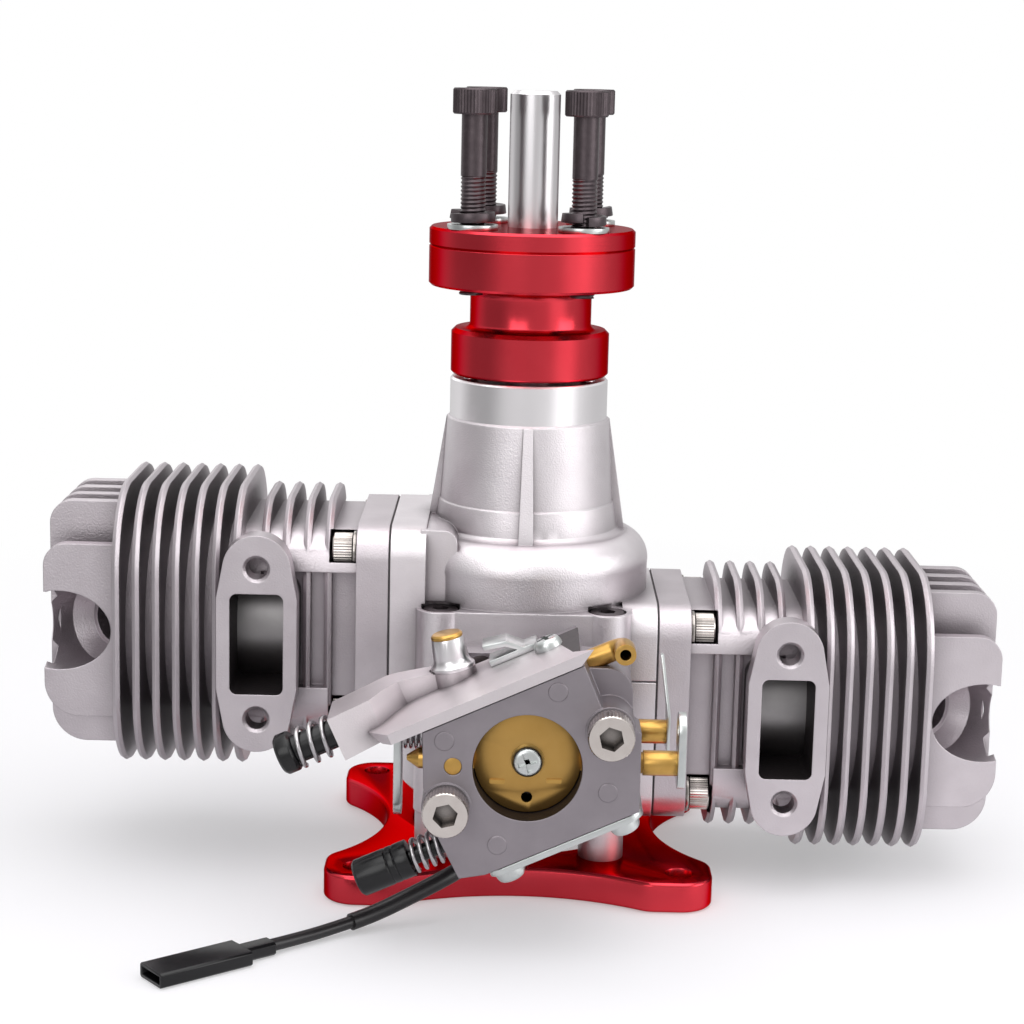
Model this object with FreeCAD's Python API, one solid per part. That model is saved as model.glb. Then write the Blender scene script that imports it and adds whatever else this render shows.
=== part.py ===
"""Flat-twin two-stroke model aircraft engine, standing on its mount plate with the propeller shaft up.

Frame: millimetres, +Z along the crankshaft towards the propeller, -Y the side with the carburettor and
the exhaust flanges, +X the right-hand cylinder. The origin is on the crank axis at the plate's bottom face.
"""
import FreeCAD, Part
import os
from math import atan2, cos, degrees, radians, sin, sqrt, tan

from FreeCAD import Placement, Rotation, Vector

# Clearances
FACE_GAP = 0.3          # between faces of two pieces that move past each other
FIT_GAP = 0.05          # radial, of a shaft in its hole
RUN_GAP = 0.03          # radial, of a piston or a journal that runs in its bore

# Mount plate
PLATE_T = 6.0
PLATE_HOLE_HALF = 31.65     # half the spacing of the four mounting holes
PLATE_HOLE_R = 2.75
PLATE_TIP_R = 6.5
PLATE_BORE_R = 22.0
PLATE_SIDE_SAG = 10.6       # how deep the two side edges curve in
PLATE_END_SAG = 7.1         # how deep the front and rear edges curve in
PLATE_SAG_HALF = 25.0       # half the chord of those curves
PLATE_EDGE = 0.5
STANDOFF_R = 4.5
STANDOFF_H = 9.0

# Crank train
STAGGER_LEFT = 49.4         # height of the left cylinder's axis
STAGGER_RIGHT = 34.7        # height of the right cylinder's axis
THROW = 12.5
ROD_LEN = 42.0
ROD_BIG_R = 8.4
ROD_SMALL_R = 6.2
ROD_T = 8.0
PIN_R = 4.0
THROW_GAP = 12.0            # room between two webs for one big end
WEB_R = 18.4
WEB_T = 5.0
JOURNAL_R = 7.5
NOSE_SHAFT_R = 6.0
NOSE_SHAFT_Z = 88.0         # where the journal steps down to the nose shaft
NOSE_SHAFT_TOP = 117.0
WRIST_PIN_R = 4.5

# Bearings
MAIN_BEARING_R = 16.0
MAIN_BEARING_T = 9.0
NOSE_BEARING_R = 12.0
NOSE_BEARING_T = 6.0
NOSE_BEARING_Z = 88.5
RACE_T = 2.6
SEAL_T = 3.6

# Crankcase
DRUM_R = 25.0
CAVITY_R = 21.6
DRUM_BOTTOM = 15.0
REAR_BOSS_R = 19.0
REAR_WALL = 3.7
SPLIT_Z = 42.0
GASKET_T = 0.4
SHOULDER_Z = 61.8
SHOULDER_R = 20.8
SHOULDER_TOP = 68.5
NOSE_FOOT_R = 18.6
NOSE_FOOT_Z = 69.4
NOSE_LINE_R = 17.8
NOSE_LINE_Z = 74.4
NOSE_CONE_R = 16.4
NOSE_RING_Z = 91.1
NOSE_RING_R = 15.9
NOSE_TOP = 99.3
RIB_W = 3.0
RIB_TOP_R = 16.5
RIB_FOOT_R = 20.4
RIB_FOOT_Z = 66.4
RIB_DRAFT = 0.9             # each side of a rib at its pointed top
FRONT_FACE_Y = 25.5         # the flat face that carries the intake
FRONT_HALF = 16.4
PAD_X = 26.4
PAD_HALF = 22.0
PAD_R = 6.0
PAD_INNER_X = 17.6
PAD_START_X = 19.5
CHEEK_X = 13.4              # inner side of the lower block beside the left pad
CHEEK_TOP = 71.0
CHEEK_HALF = 19.5
CASE_BOLT_X = 16.4
CASE_BOLT_Y = 21.7
CASE_BOSS_R = 4.8
CASE_BOSS_TOP = 56.0
CASE_BOLT_LEN = 26.0
INTAKE_HALF_X = 8.0
INTAKE_LOW = 29.0
INTAKE_HIGH = 43.0

# Standard screws: shank radius, head radius, head height, key width across flats
M5 = (2.5, 4.25, 5.0, 4.0)
M4 = (2.0, 3.5, 4.0, 3.0)
M3 = (1.5, 2.75, 3.0, 2.5)

# Cylinders, in a frame of their own: x outwards from the crank axis, z from the cylinder's axis
BORE_R = 16.0
FLANGE_T = 6.3
FLANGE_HALF = 22.0
FLANGE_R = 6.5
SPIGOT_R = 18.0
SPIGOT_LEN = 4.6
BARREL_HALF = 21.0
BARREL_R = 9.0
BARREL_END = 57.5
CORE_R = 20.0
BOLT_OFFSET = 16.7
FIN_LAST_X = 79.6
FIN_PITCH = 3.9
FIN_COUNT = 7
FIN_T = 1.5
FIN_HALF_Y = 26.8
FIN_HALF_Z = 28.7
FIN_R = 17.0
FIN_BEVEL = 0.45
SMALL_FIN_FIRST_X = 38.7
SMALL_FIN_PITCH = 4.2
SMALL_FIN_COUNT = 4
SMALL_FIN_HALF_Z = 25.9
SMALL_FIN_HALF_Y = 20.6
SMALL_FIN_R = 14.0
RECESS_TOP = 13.0           # the side recess between the two transfer bulges
RECESS_BOTTOM = -10.5
RECESS_DEPTH = 3.0
SQUISH_X = 67.0
CHAMBER_R = 14.0
CHAMBER_TOP_R = 7.0
CHAMBER_DEPTH = 6.0
PORT_X = 51.9
PORT_HALF_X = 5.2
PORT_HALF_Z = 10.05
PORT_CORNER = 1.4
EXHAUST_FACE_Y = 28.7
EXHAUST_T = 5.0
EXHAUST_HALF_X = 7.85
EXHAUST_STRAIGHT = 9.0
EXHAUST_HOLE_HALF = 15.0
EXHAUST_HOLE_R = 2.1
EXHAUST_END_R = 6.6
DUCT_WALL = 2.4
TRANSFER_ANGLES = (62.0, 118.0, 242.0, 298.0)    # about the cylinder, from the exhaust side
TRANSFER_IN = 17.3
TRANSFER_OUT = 19.9
TRANSFER_W = 6.0
TRANSFER_END = 52.5
TRANSFER_WINDOW = 6.5

# Cylinder heads
HEAD_END = 94.8
HEAD_PLATE_PITCH = 7.7
HEAD_PLATE_COUNT = 6
HEAD_PLATE_T = 2.6
HEAD_HALF_Z = 24.7
HEAD_SIDE_HALF_Z = 17.5
HEAD_TOP_R = 4.5
HEAD_LOW_R = 7.0
HEAD_CORE_END = 86.0
HEAD_CORE_HALF_Y = 17.0
HEAD_CORE_HALF_Z = 15.0
PLUG_AXIS_X = 74.8
PLUG_ANGLE = 50.0
PLUG_SEAT = 13.0
PLUG_CONE = 3.5             # how far the recess tapers above the plug's seat
PLUG_SEAT_R = 5.6
PLUG_RECESS_R = 8.0
PLUG_BOSS_R = 10.0
PLUG_HOLE_R = 4.6

# Pistons
PISTON_CROWN = 12.0
PISTON_SKIRT = 8.2
PISTON_WALL = 2.4
RING_T = 1.5
RING_DEPTH = 1.5
RING_DROP = 3.0

# Propeller hub and driver
HUB_RING_R = 15.9
HUB_RING_Z = 100.0
HUB_RING_T = 9.2
HUB_NECK_R = 12.2
HUB_FLANGE_Z = 117.7
HUB_FLANGE_R = 20.6
HUB_TOP = 125.7
HUB_FILLET = 2.2
DRIVER_TOP = 129.4
PROP_SHAFT_R = 5.0
PROP_SHAFT_FOOT_R = 4.6
PROP_SHAFT_TOP = 156.2
PROP_SHAFT_BOTTOM = 118.2
PROP_BOLT_R = 15.4
PROP_BOLT_TURN = 40.0
PROP_BOLT_HEAD_Z = 151.6
PROP_BOLT_LEN = 35.0
PLAIN_WASHER_T = 1.0
PLAIN_WASHER_R = 5.0
SPRING_WASHER_T = 2.4
SPRING_WASHER_R = 4.4

# Carburettor, in a frame of its own: u along its slanted covers, v away from the metering side
CARB_X = 1.1
CARB_Z = 37.5
CARB_TILT = 24.5
CARB_FACE_Y = -67.0
CARB_DEPTH = 32.5
CARB_TOP_V = 13.4
CARB_LOW_V = -15.4
CARB_BOSS_R = 4.5
CARB_BOLTS = ((-16.3, -0.9), (16.4, 0.5))
CHOKE_BORE_R = 9.9
CHOKE_BORE_DEPTH = 16.0
THROAT_R = 6.6
THROTTLE_BORE_R = 8.15
THROTTLE_BORE_DEPTH = 15.0
CHOKE_Y = -61.8
THROTTLE_Y = -41.3
SPINDLE_R = 1.95
SPINDLE_END_R = 2.3
DISC_T = 0.8
INSULATOR_T = 3.5
PUMP_COVER_T = 2.0
METERING_COVER_T = 1.3
COVER_GASKET_T = 0.4
LUG_V = 17.0
LUG_Y = -56.0
IDLE_CORE_R = 2.7
MIXTURE_V = -9.6
MIXTURE_Y = -58.5
POST_TOP = (-14.3, -47.5, 56.5)
POST_LEAN = 12.0            # degrees to the left of upright
POST_H = 6.0

# Sensor and its lead
SENSOR_TOP = 97.5
SENSOR_LOW = 86.0
SENSOR_HALF_X = 6.5
SENSOR_Y = 24.0
LEAD_D = 2.4
LEAD_ROUTE = (
    (0.0, 20.5, 86.0), (0.0, 20.5, 77.0), (0.0, 27.0, 64.5), (0.0, 32.0, 52.0), (0.0, 33.4, 38.0),
    (0.0, 33.6, 24.0), (-0.3, 30.6, 14.6), (-0.9, 22.4, 9.4), (-1.6, 11.5, 6.6), (-2.4, -1.0, 5.2),
    (-3.0, -12.5, 6.8), (-3.6, -23.0, 9.3), (-6.0, -32.0, 10.0), (-11.6, -40.4, 8.4), (-20.5, -45.2, 4.9),
    (-27.6, -49.0, 2.4), (-35.0, -54.6, 1.5), (-40.2, -59.2, 1.4), (-45.2, -63.2, 1.4))
PLUG_LEN = 19.0
PLUG_W = 7.6
PLUG_H = 2.8
PLUG_NECK_LEN = 6.2
PLUG_NECK_W = 3.8
PLUG_TURN = 209.8           # heading of the plug on the floor, in degrees

X = Vector(1, 0, 0)
Y = Vector(0, 1, 0)
Z = Vector(0, 0, 1)
NODES = {}


def cyl(radius, start, axis, length):
    """A cylinder from a start point along an axis."""
    return Part.makeCylinder(radius, length, Vector(*start), axis)


def tube(outer, inner, start, axis, length):
    """A ring or sleeve with a round hole right through."""
    return cyl(outer, start, axis, length).cut(cyl(inner, start, axis, length))


def block(low, high):
    """A box between its lowest and its highest corner."""
    size = [b - a for a, b in zip(low, high)]
    return Part.makeBox(size[0], size[1], size[2], Vector(*low))


def fuse(shapes):
    """Several shapes as one clean solid."""
    body = shapes[0]
    if len(shapes) > 1:
        body = body.multiFuse(list(shapes[1:]))
    return body.removeSplitter()


def cut(body, tools):
    """A body less every tool."""
    return body.cut(Part.makeCompound(tools)) if tools else body


def group(shapes):
    """Separate solids that share one node."""
    return Part.makeCompound(shapes)


def rounded_wire(half_a, half_b, radius, centre=(0.0, 0.0), low_radius=None):
    """A rectangle with round corners, in the XY plane; low_radius rounds its two lower corners."""
    low = radius if low_radius is None else low_radius
    ca, cb = centre
    corners = [(1, 1, radius), (-1, 1, radius), (-1, -1, low), (1, -1, low)]
    edges = []
    ends = []
    for sa, sb, r in corners:
        mid = Vector(ca + sa * (half_a - r), cb + sb * (half_b - r), 0)
        first = atan2(sb, sa) - radians(45)
        turns = [first + radians(t) for t in (0, 45, 90)]
        points = [mid + Vector(r * cos(t), r * sin(t), 0) for t in turns]
        edges.append(Part.Arc(*points).toShape())
        ends.append((points[0], points[2]))
    for i in range(4):
        a = ends[i][1]
        b = ends[(i + 1) % 4][0]
        if a.distanceToPoint(b) > 1e-6:
            edges.append(Part.LineSegment(a, b).toShape())
    return Part.Wire(Part.__sortEdges__(edges))


def across_x(wire, x):
    """Puts a wire drawn in XY into the plane at x, with its first axis along Y and its second along Z."""
    turned = wire.copy()
    turned.Placement = Placement(Vector(x, 0, 0), Rotation(Y, Z, X, "ZXY"))
    return turned


def across_y(wire, y):
    """Puts a wire drawn in XY into the plane at y, with its first axis along X and its second along Z."""
    turned = wire.copy()
    turned.Placement = Placement(Vector(0, y, 0), Rotation(X, Z, Y.negative(), "ZXY"))
    return turned


def plate_x(half_y, half_z, radius, x0, x1, centre=(0.0, 0.0)):
    """A plate with round corners, square to X."""
    wire = across_x(rounded_wire(half_y, half_z, radius, centre), x0)
    return Part.Face(wire).extrude(X * (x1 - x0))


def plate_y(half_x, half_z, radius, y0, y1, centre=(0.0, 0.0), low_radius=None):
    """A plate with round corners, square to Y."""
    wire = across_y(rounded_wire(half_x, half_z, radius, centre, low_radius), y0)
    return Part.Face(wire).extrude(Y * (y1 - y0))


def turned(profile, centre=Vector(0, 0, 0), axis=Z):
    """A solid of revolution from (radius, height) points; a third value bulges the run before it outwards."""
    edges = []
    last = None
    for point in profile:
        here = Vector(point[0], 0, point[1])
        if last is not None:
            if len(point) > 2:
                middle = (last + here) * 0.5
                side = Y.cross(here - last).normalize()
                edges.append(Part.Arc(last, middle + side * point[2], here).toShape())
            else:
                edges.append(Part.LineSegment(last, here).toShape())
        last = here
    first = edges[0].Vertexes[0].Point
    if last.distanceToPoint(first) > 1e-6:
        edges.append(Part.LineSegment(last, first).toShape())
    body = Part.Face(Part.Wire(edges)).revolve(Vector(0, 0, 0), Z, 360)
    solid = Part.Solid(Part.Shell(body.Faces)) if body.ShapeType != "Solid" else body
    solid.Placement = Placement(centre, Rotation(Z, axis))
    return solid


def hex_socket(start, axis, flats, depth):
    """The hexagon recess of a socket head."""
    corner = flats / sqrt(3)
    points = [Vector(corner * cos(radians(60 * i)), corner * sin(radians(60 * i)), 0) for i in range(7)]
    tool = Part.Face(Part.makePolygon(points)).extrude(Z * depth)
    tool.Placement = Placement(Vector(*start), Rotation(Z, axis))
    return tool


def socket_screw(size, seat, axis, length):
    """A socket cap screw: the head stands on the seat towards axis, and the shank goes the other way."""
    shank_r, head_r, head_h, key = size
    back = axis.negative()
    seat_v = Vector(*seat)
    head = cyl(head_r, seat_v, axis, head_h)
    rim = head.Edges[0]
    for edge in head.Edges:
        if len(edge.Vertexes) == 1 and (edge.CenterOfMass - seat_v).dot(axis) > head_h / 2:
            rim = edge
    head = head.makeChamfer(head_h * 0.08, [rim])
    top = seat_v + axis * (head_h - key * 0.62)
    head = head.cut(hex_socket(top, axis, key, key))
    shank = cyl(shank_r, seat_v, back, length)
    return fuse([head, shank])


def pan_screw(seat, axis, head_r, head_h, shank_r, length):
    """A pan head screw with a cross recess, its head domed towards axis."""
    profile = [(0, -length), (shank_r, -length), (shank_r, 0), (head_r, 0), (head_r, head_h * 0.4),
               (head_r * 0.55, head_h, head_h * 0.14), (0, head_h)]
    screw = turned(profile, Vector(*seat), axis)
    slot = head_r * 0.22
    tools = []
    for a, b in ((head_r * 0.62, slot), (slot, head_r * 0.62)):
        tool = block((-a, -b, head_h * 0.45), (a, b, head_h * 1.2))
        tool.Placement = Placement(Vector(*seat), Rotation(Z, axis))
        tools.append(tool)
    return cut(screw, tools)


def flat_screw(seat, axis, head_r, shank_r, length):
    """A countersunk screw whose flat top lies at the seat, facing axis."""
    depth = head_r - shank_r
    profile = [(0, -length), (shank_r, -length), (shank_r, -depth), (head_r, 0), (0, 0)]
    screw = turned(profile, Vector(*seat), axis)
    top = Vector(*seat) - axis * (shank_r * 0.7)
    return screw.cut(hex_socket(top, axis, shank_r * 1.2, shank_r))


def coil(start, axis, mean_r, wire_r, pitch, turns):
    """A helical compression spring."""
    helix = Part.makeHelix(pitch, pitch * turns, mean_r)
    section = Part.Wire(Part.makeCircle(wire_r, Vector(mean_r, 0, 0), Y))
    spring = Part.Wire(helix).makePipeShell([section], True, True)
    spring.Placement = Placement(Vector(*start), Rotation(Z, axis))
    return spring


def mount_plate():
    """The X-shaped plate: four arms with holes, curved-in edges and a round opening."""
    half = PLATE_HOLE_HALF + PLATE_TIP_R
    plate = Part.Face(rounded_wire(half, half, PLATE_TIP_R)).extrude(Z * PLATE_T)
    scoops = []
    for sag, direction in ((PLATE_SIDE_SAG, X), (PLATE_END_SAG, Y)):
        scoop_r = (PLATE_SAG_HALF ** 2 + sag ** 2) / (2 * sag)
        for side in (-1, 1):
            centre = direction * (side * (half - sag + scoop_r))
            scoops.append(cyl(scoop_r, centre, Z, PLATE_T))
    plate = cut(plate, scoops)
    cusps = [e for e in plate.Edges if len(e.Vertexes) == 2 and abs(e.Length - PLATE_T) < 1e-4
             and abs(e.Vertexes[0].Z - e.Vertexes[1].Z) > PLATE_T / 2
             and min(abs(e.Vertexes[0].X), abs(e.Vertexes[0].Y)) < PLATE_SAG_HALF + 0.5]
    plate = plate.makeFillet(PLATE_TIP_R * 0.8, cusps)
    rims = [e for e in plate.Edges if abs(e.BoundBox.ZLength) < 1e-6]
    plate = plate.makeChamfer(PLATE_EDGE, rims)
    holes = [cyl(PLATE_BORE_R, (0, 0, 0), Z, PLATE_T)]
    for sx in (-1, 1):
        for sy in (-1, 1):
            holes.append(cyl(PLATE_HOLE_R, (sx * PLATE_HOLE_HALF, sy * PLATE_HOLE_HALF, 0), Z, PLATE_T))
            at = (sx * CASE_BOLT_X, sy * CASE_BOLT_Y, 0)
            holes.append(turned([(0, PLATE_T), (M4[0] + FIT_GAP, PLATE_T), (M4[0] + FIT_GAP, M4[0]),
                                 (2 * M4[0] + FIT_GAP, 0), (0, 0)], Vector(*at)))
    return cut(plate, holes)


def corner_points(z):
    """The four places that the case bolts and the standoffs share."""
    return [Vector(sx * CASE_BOLT_X, sy * CASE_BOLT_Y, z) for sx in (-1, 1) for sy in (-1, 1)]


def standoffs():
    """Four round spacers, each with a blind hole at its foot and a stud at its top."""
    solids = []
    for point in corner_points(PLATE_T):
        post = cyl(STANDOFF_R, point, Z, STANDOFF_H)
        stud = cyl(M4[0], point + Z * STANDOFF_H, Z, STANDOFF_H * 0.7)
        hole = cyl(M4[0] + FIT_GAP, point, Z, STANDOFF_H * 0.6)
        solids.append(post.fuse(stud).cut(hole))
    return group(solids)


def case_outer():
    """The whole crankcase from outside: drum, shoulder, nose cone, ribs, pads and bolt bosses."""
    rear_z = MAIN_FLOOR - REAR_WALL
    body = turned([
        (0, rear_z), (REAR_BOSS_R - 1.5, rear_z), (REAR_BOSS_R, rear_z + 1.5), (REAR_BOSS_R, DRUM_BOTTOM),
        (DRUM_R - 1.0, DRUM_BOTTOM), (DRUM_R, DRUM_BOTTOM + 1.0), (DRUM_R, SHOULDER_Z),
        (SHOULDER_R, SHOULDER_TOP, 1.5), (NOSE_FOOT_R, NOSE_FOOT_Z, -0.3), (NOSE_LINE_R, NOSE_LINE_Z),
        (NOSE_LINE_R - 0.3, NOSE_LINE_Z + 0.25), (NOSE_CONE_R, NOSE_RING_Z), (NOSE_RING_R, NOSE_RING_Z + 0.4),
        (NOSE_RING_R, NOSE_TOP - 0.4), (NOSE_RING_R - 0.4, NOSE_TOP), (0, NOSE_TOP)])
    parts = [body]
    for side, height in ((-1, STAGGER_LEFT), (1, STAGGER_RIGHT)):
        low, high = sorted((side * PAD_START_X, side * PAD_X))
        parts.append(plate_x(PAD_HALF, PAD_HALF, PAD_R, low, high, (0, height)).cut(
            cyl(PAD_INNER_X, (0, 0, SHOULDER_Z), Z, NOSE_TOP)))
    cheek = block((-PAD_START_X - 1, -CHEEK_HALF, SPLIT_Z), (-CHEEK_X, CHEEK_HALF, CHEEK_TOP))
    long_edges = [e for e in cheek.Edges if e.BoundBox.YLength > DRUM_R and e.CenterOfMass.z > SPLIT_Z + 5
                  and e.CenterOfMass.x > -CHEEK_X - 1]
    cheek = cheek.makeFillet(PAD_R * 0.45, long_edges)
    parts.append(cheek.cut(cyl(PAD_INNER_X, (0, 0, SHOULDER_TOP), Z, NOSE_TOP)))
    parts.append(block((-FRONT_HALF, -FRONT_FACE_Y, DRUM_BOTTOM), (FRONT_HALF, 0, CASE_BOSS_TOP)))
    for point in corner_points(DRUM_BOTTOM):
        parts.append(cyl(CASE_BOSS_R, point, Z, CASE_BOSS_TOP - DRUM_BOTTOM))
        inner = Vector(point.x, point.y * 0.6, point.z)
        low = (min(point.x, inner.x) - CASE_BOSS_R, min(point.y, inner.y), DRUM_BOTTOM)
        high = (max(point.x, inner.x) + CASE_BOSS_R, max(point.y, inner.y), CASE_BOSS_TOP)
        parts.append(block(low, high))
    for turn in (0, 90, 180, 270):
        parts.append(nose_rib(turn))
    return fuse(parts)


def nose_rib(turn):
    """One tapering rib down the nose cone, pointed at its top."""
    points = [Vector(NOSE_CONE_R - 3, 0, NOSE_RING_Z), Vector(RIB_TOP_R, 0, NOSE_RING_Z),
              Vector(RIB_FOOT_R, 0, RIB_FOOT_Z), Vector(NOSE_CONE_R - 3, 0, RIB_FOOT_Z)]
    face = Part.Face(Part.makePolygon(points + points[:1]))
    rib = face.extrude(Y * (RIB_W / 2)).fuse(face.extrude(Y * (-RIB_W / 2)))
    for side in (-1, 1):
        wedge = Part.Face(Part.makePolygon([
            Vector(0, side * RIB_DRAFT, NOSE_RING_Z + 1), Vector(0, side * RIB_W, NOSE_RING_Z + 1),
            Vector(0, side * RIB_W, RIB_FOOT_Z), Vector(0, side * RIB_W / 2, RIB_FOOT_Z),
            Vector(0, side * RIB_DRAFT, NOSE_RING_Z + 1)])).extrude(X * DRUM_R)
        rib = rib.cut(wedge)
    rib.rotate(Vector(0, 0, 0), Z, turn)
    return rib


def case_cavity():
    """Everything cut out of the crankcase: crank chamber, bearing seats, nose bore, openings and holes."""
    tools = [
        cyl(CAVITY_R, (0, 0, CHAMBER_LOW), Z, CHAMBER_HIGH - CHAMBER_LOW),
        cyl(MAIN_BEARING_R, (0, 0, MAIN_FLOOR), Z, CHAMBER_LOW - MAIN_FLOOR),
        cyl(MAIN_BEARING_R, (0, 0, CHAMBER_HIGH), Z, MAIN_BEARING_T),
        cyl(JOURNAL_R + 2.0, (0, 0, CHAMBER_HIGH), Z, NOSE_TOP - CHAMBER_HIGH),
        cyl(NOSE_BEARING_R, (0, 0, NOSE_BEARING_Z), Z, NOSE_BEARING_T),
        cyl(SEAL_R, (0, 0, NOSE_BEARING_Z), Z, NOSE_TOP - NOSE_BEARING_Z),
        block((-INTAKE_HALF_X, -FRONT_FACE_Y - 1, INTAKE_LOW), (INTAKE_HALF_X, 0, INTAKE_HIGH))]
    for side, height in ((-1, STAGGER_LEFT), (1, STAGGER_RIGHT)):
        outward = X * side
        spigot_end = (side * (PAD_X - SPIGOT_LEN - FACE_GAP), 0, height)
        tools.append(cyl(SPIGOT_R + FIT_GAP, spigot_end, outward, PAD_X))
        tools.append(cyl(BORE_R + FACE_GAP, (side * (WEB_R + 0.4), 0, height), outward, PAD_X))
        for y in (-1, 1):
            for z in (-1, 1):
                at = (side * (PAD_X - 7.0), y * BOLT_OFFSET, height + z * BOLT_OFFSET)
                tools.append(cyl(M4[0] + FIT_GAP, at, outward, PAD_X))
        for angle in TRANSFER_ANGLES:
            tools.append(placed_cylinder(transfer_duct(angle, WEB_R + 1.0, PAD_X + 1.0), side, height))
    for point in corner_points(DRUM_BOTTOM):
        seat = Vector(point.x, point.y, CASE_SEAT_Z)
        tools.append(cyl(M4[1] + 0.3, seat, Z, M4[2] + 0.8))
        tools.append(cyl(M4[0] + FIT_GAP, point, Z, STANDOFF_H * 0.7 + 1.0))
        tools.append(cyl(STANDOFF_R + FACE_GAP, point, Z.negative(), STANDOFF_H))
        tools.append(cyl(M4[0] + FIT_GAP, seat, Z.negative(), CASE_BOLT_LEN + 1.0))
    for at in manifold_screw_points():
        tools.append(cyl(M3[0] + FIT_GAP, (at[0], -FRONT_FACE_Y, at[1]), Y, 5.0))
    for at in nose_screw_points():
        tools.append(cyl(NOSE_SCREW_R + FIT_GAP, (at[0], at[1], NOSE_TOP - 3.2), Z, 4.0))
    for at in sensor_screw_points():
        tools.append(cyl(NOSE_SCREW_R + FIT_GAP, (at[0], NOSE_RING_R - 3.2, at[1]), Y, 4.0))
    return Part.makeCompound(tools)


def placed_cylinder(shape, side, height):
    """Moves a piece from the cylinder's own frame to the right or, mirrored, to the left."""
    body = shape.copy()
    if side < 0:
        body = body.mirror(Vector(0, 0, 0), X)
    body.translate(Vector(0, 0, height))
    return body


def transfer_duct(angle, x0, x1):
    """One transfer passage alongside the bore, as a solid to cut away."""
    duct = block((x0, TRANSFER_IN, -TRANSFER_W / 2), (x1, TRANSFER_OUT, TRANSFER_W / 2))
    duct.rotate(Vector(0, 0, 0), X, 180 + angle)
    return duct


def crankcase():
    """The front and rear halves, and the gasket that lies between them."""
    outer = case_outer().cut(case_cavity())
    wide = 2 * PAD_X
    upper = block((-wide, -wide, SPLIT_Z + GASKET_T / 2), (wide, wide, NOSE_TOP + wide))
    lower = block((-wide, -wide, -wide), (wide, wide, SPLIT_Z - GASKET_T / 2))
    middle = block((-wide, -wide, SPLIT_Z - GASKET_T / 2), (wide, wide, SPLIT_Z + GASKET_T / 2))
    return outer.common(upper), outer.common(lower), outer.common(middle)


def fin(x, half_y, half_z, radius):
    """One cooling fin whose rim is bevelled on both faces."""
    shells = []
    for side in (-1, 1):
        rim = across_x(rounded_wire(half_y, half_z, radius), x)
        face = across_x(rounded_wire(half_y - FIN_BEVEL, half_z - FIN_BEVEL, radius - FIN_BEVEL),
                        x + side * FIN_T / 2)
        shells.append(Part.makeLoft([rim, face], True, True))
    return shells[0].fuse(shells[1])


def exhaust_outline(grow=0.0):
    """The exhaust flange's outline: straight sides and two round ends about the bolt holes."""
    half = EXHAUST_HALF_X + grow
    end_r = EXHAUST_END_R + grow
    reach = EXHAUST_HOLE_HALF - EXHAUST_STRAIGHT
    far = sqrt(half ** 2 + reach ** 2)
    lean = atan2(-reach, half) + acos_safe(end_r / far)
    touch = Vector(end_r * cos(lean), EXHAUST_HOLE_HALF + end_r * sin(lean), 0)
    top = Vector(0, EXHAUST_HOLE_HALF + end_r, 0)
    edges = []
    for sz in (1, -1):
        a = Vector(touch.x, sz * touch.y, 0)
        b = Vector(-touch.x, sz * touch.y, 0)
        edges.append(Part.Arc(a, Vector(0, sz * top.y, 0), b).toShape())
        for sx in (1, -1):
            edges.append(Part.LineSegment(Vector(sx * touch.x, sz * touch.y, 0),
                                          Vector(sx * half, sz * EXHAUST_STRAIGHT, 0)).toShape())
    for sx in (1, -1):
        edges.append(Part.LineSegment(Vector(sx * half, EXHAUST_STRAIGHT, 0),
                                      Vector(sx * half, -EXHAUST_STRAIGHT, 0)).toShape())
    return Part.Wire(Part.__sortEdges__(edges))


def acos_safe(value):
    """The angle whose cosine is the value."""
    return atan2(sqrt(max(0.0, 1 - value * value)), value)


def exhaust_stub():
    """The exhaust duct with its flange, solid inside."""
    wire = across_y(exhaust_outline(), -EXHAUST_FACE_Y)
    wire.translate(X * PORT_X)
    flange = Part.Face(wire).extrude(Y * EXHAUST_T)
    duct = plate_y(PORT_HALF_X + DUCT_WALL, PORT_HALF_Z + DUCT_WALL, PORT_CORNER + DUCT_WALL,
                   -EXHAUST_FACE_Y + EXHAUST_T, -BORE_R, (PORT_X, 0))
    return [flange, duct]


def head_plates():
    """The upright plates of the head, square to Y, the outer two lower than the rest."""
    plates = []
    middle = (FIN_LAST_X + HEAD_END) / 2
    half_x = (HEAD_END - FIN_LAST_X) / 2
    for i in range(HEAD_PLATE_COUNT):
        y = (i - (HEAD_PLATE_COUNT - 1) / 2) * HEAD_PLATE_PITCH
        outer = i in (0, HEAD_PLATE_COUNT - 1)
        half_z = HEAD_SIDE_HALF_Z if outer else HEAD_HALF_Z
        plate = plate_y(half_x + HEAD_LOW_R, half_z, HEAD_TOP_R, y - HEAD_PLATE_T / 2, y + HEAD_PLATE_T / 2,
                        (middle - HEAD_LOW_R, 0), HEAD_LOW_R)
        room = block((FIN_LAST_X, -FIN_HALF_Y, -FIN_HALF_Z), (HEAD_END, FIN_HALF_Y, FIN_HALF_Z))
        plates.append(plate.common(room))
    return plates


def plug_axis():
    """The spark plug's direction, outwards and towards the exhaust side."""
    return Vector(cos(radians(PLUG_ANGLE)), -sin(radians(PLUG_ANGLE)), 0)


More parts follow.
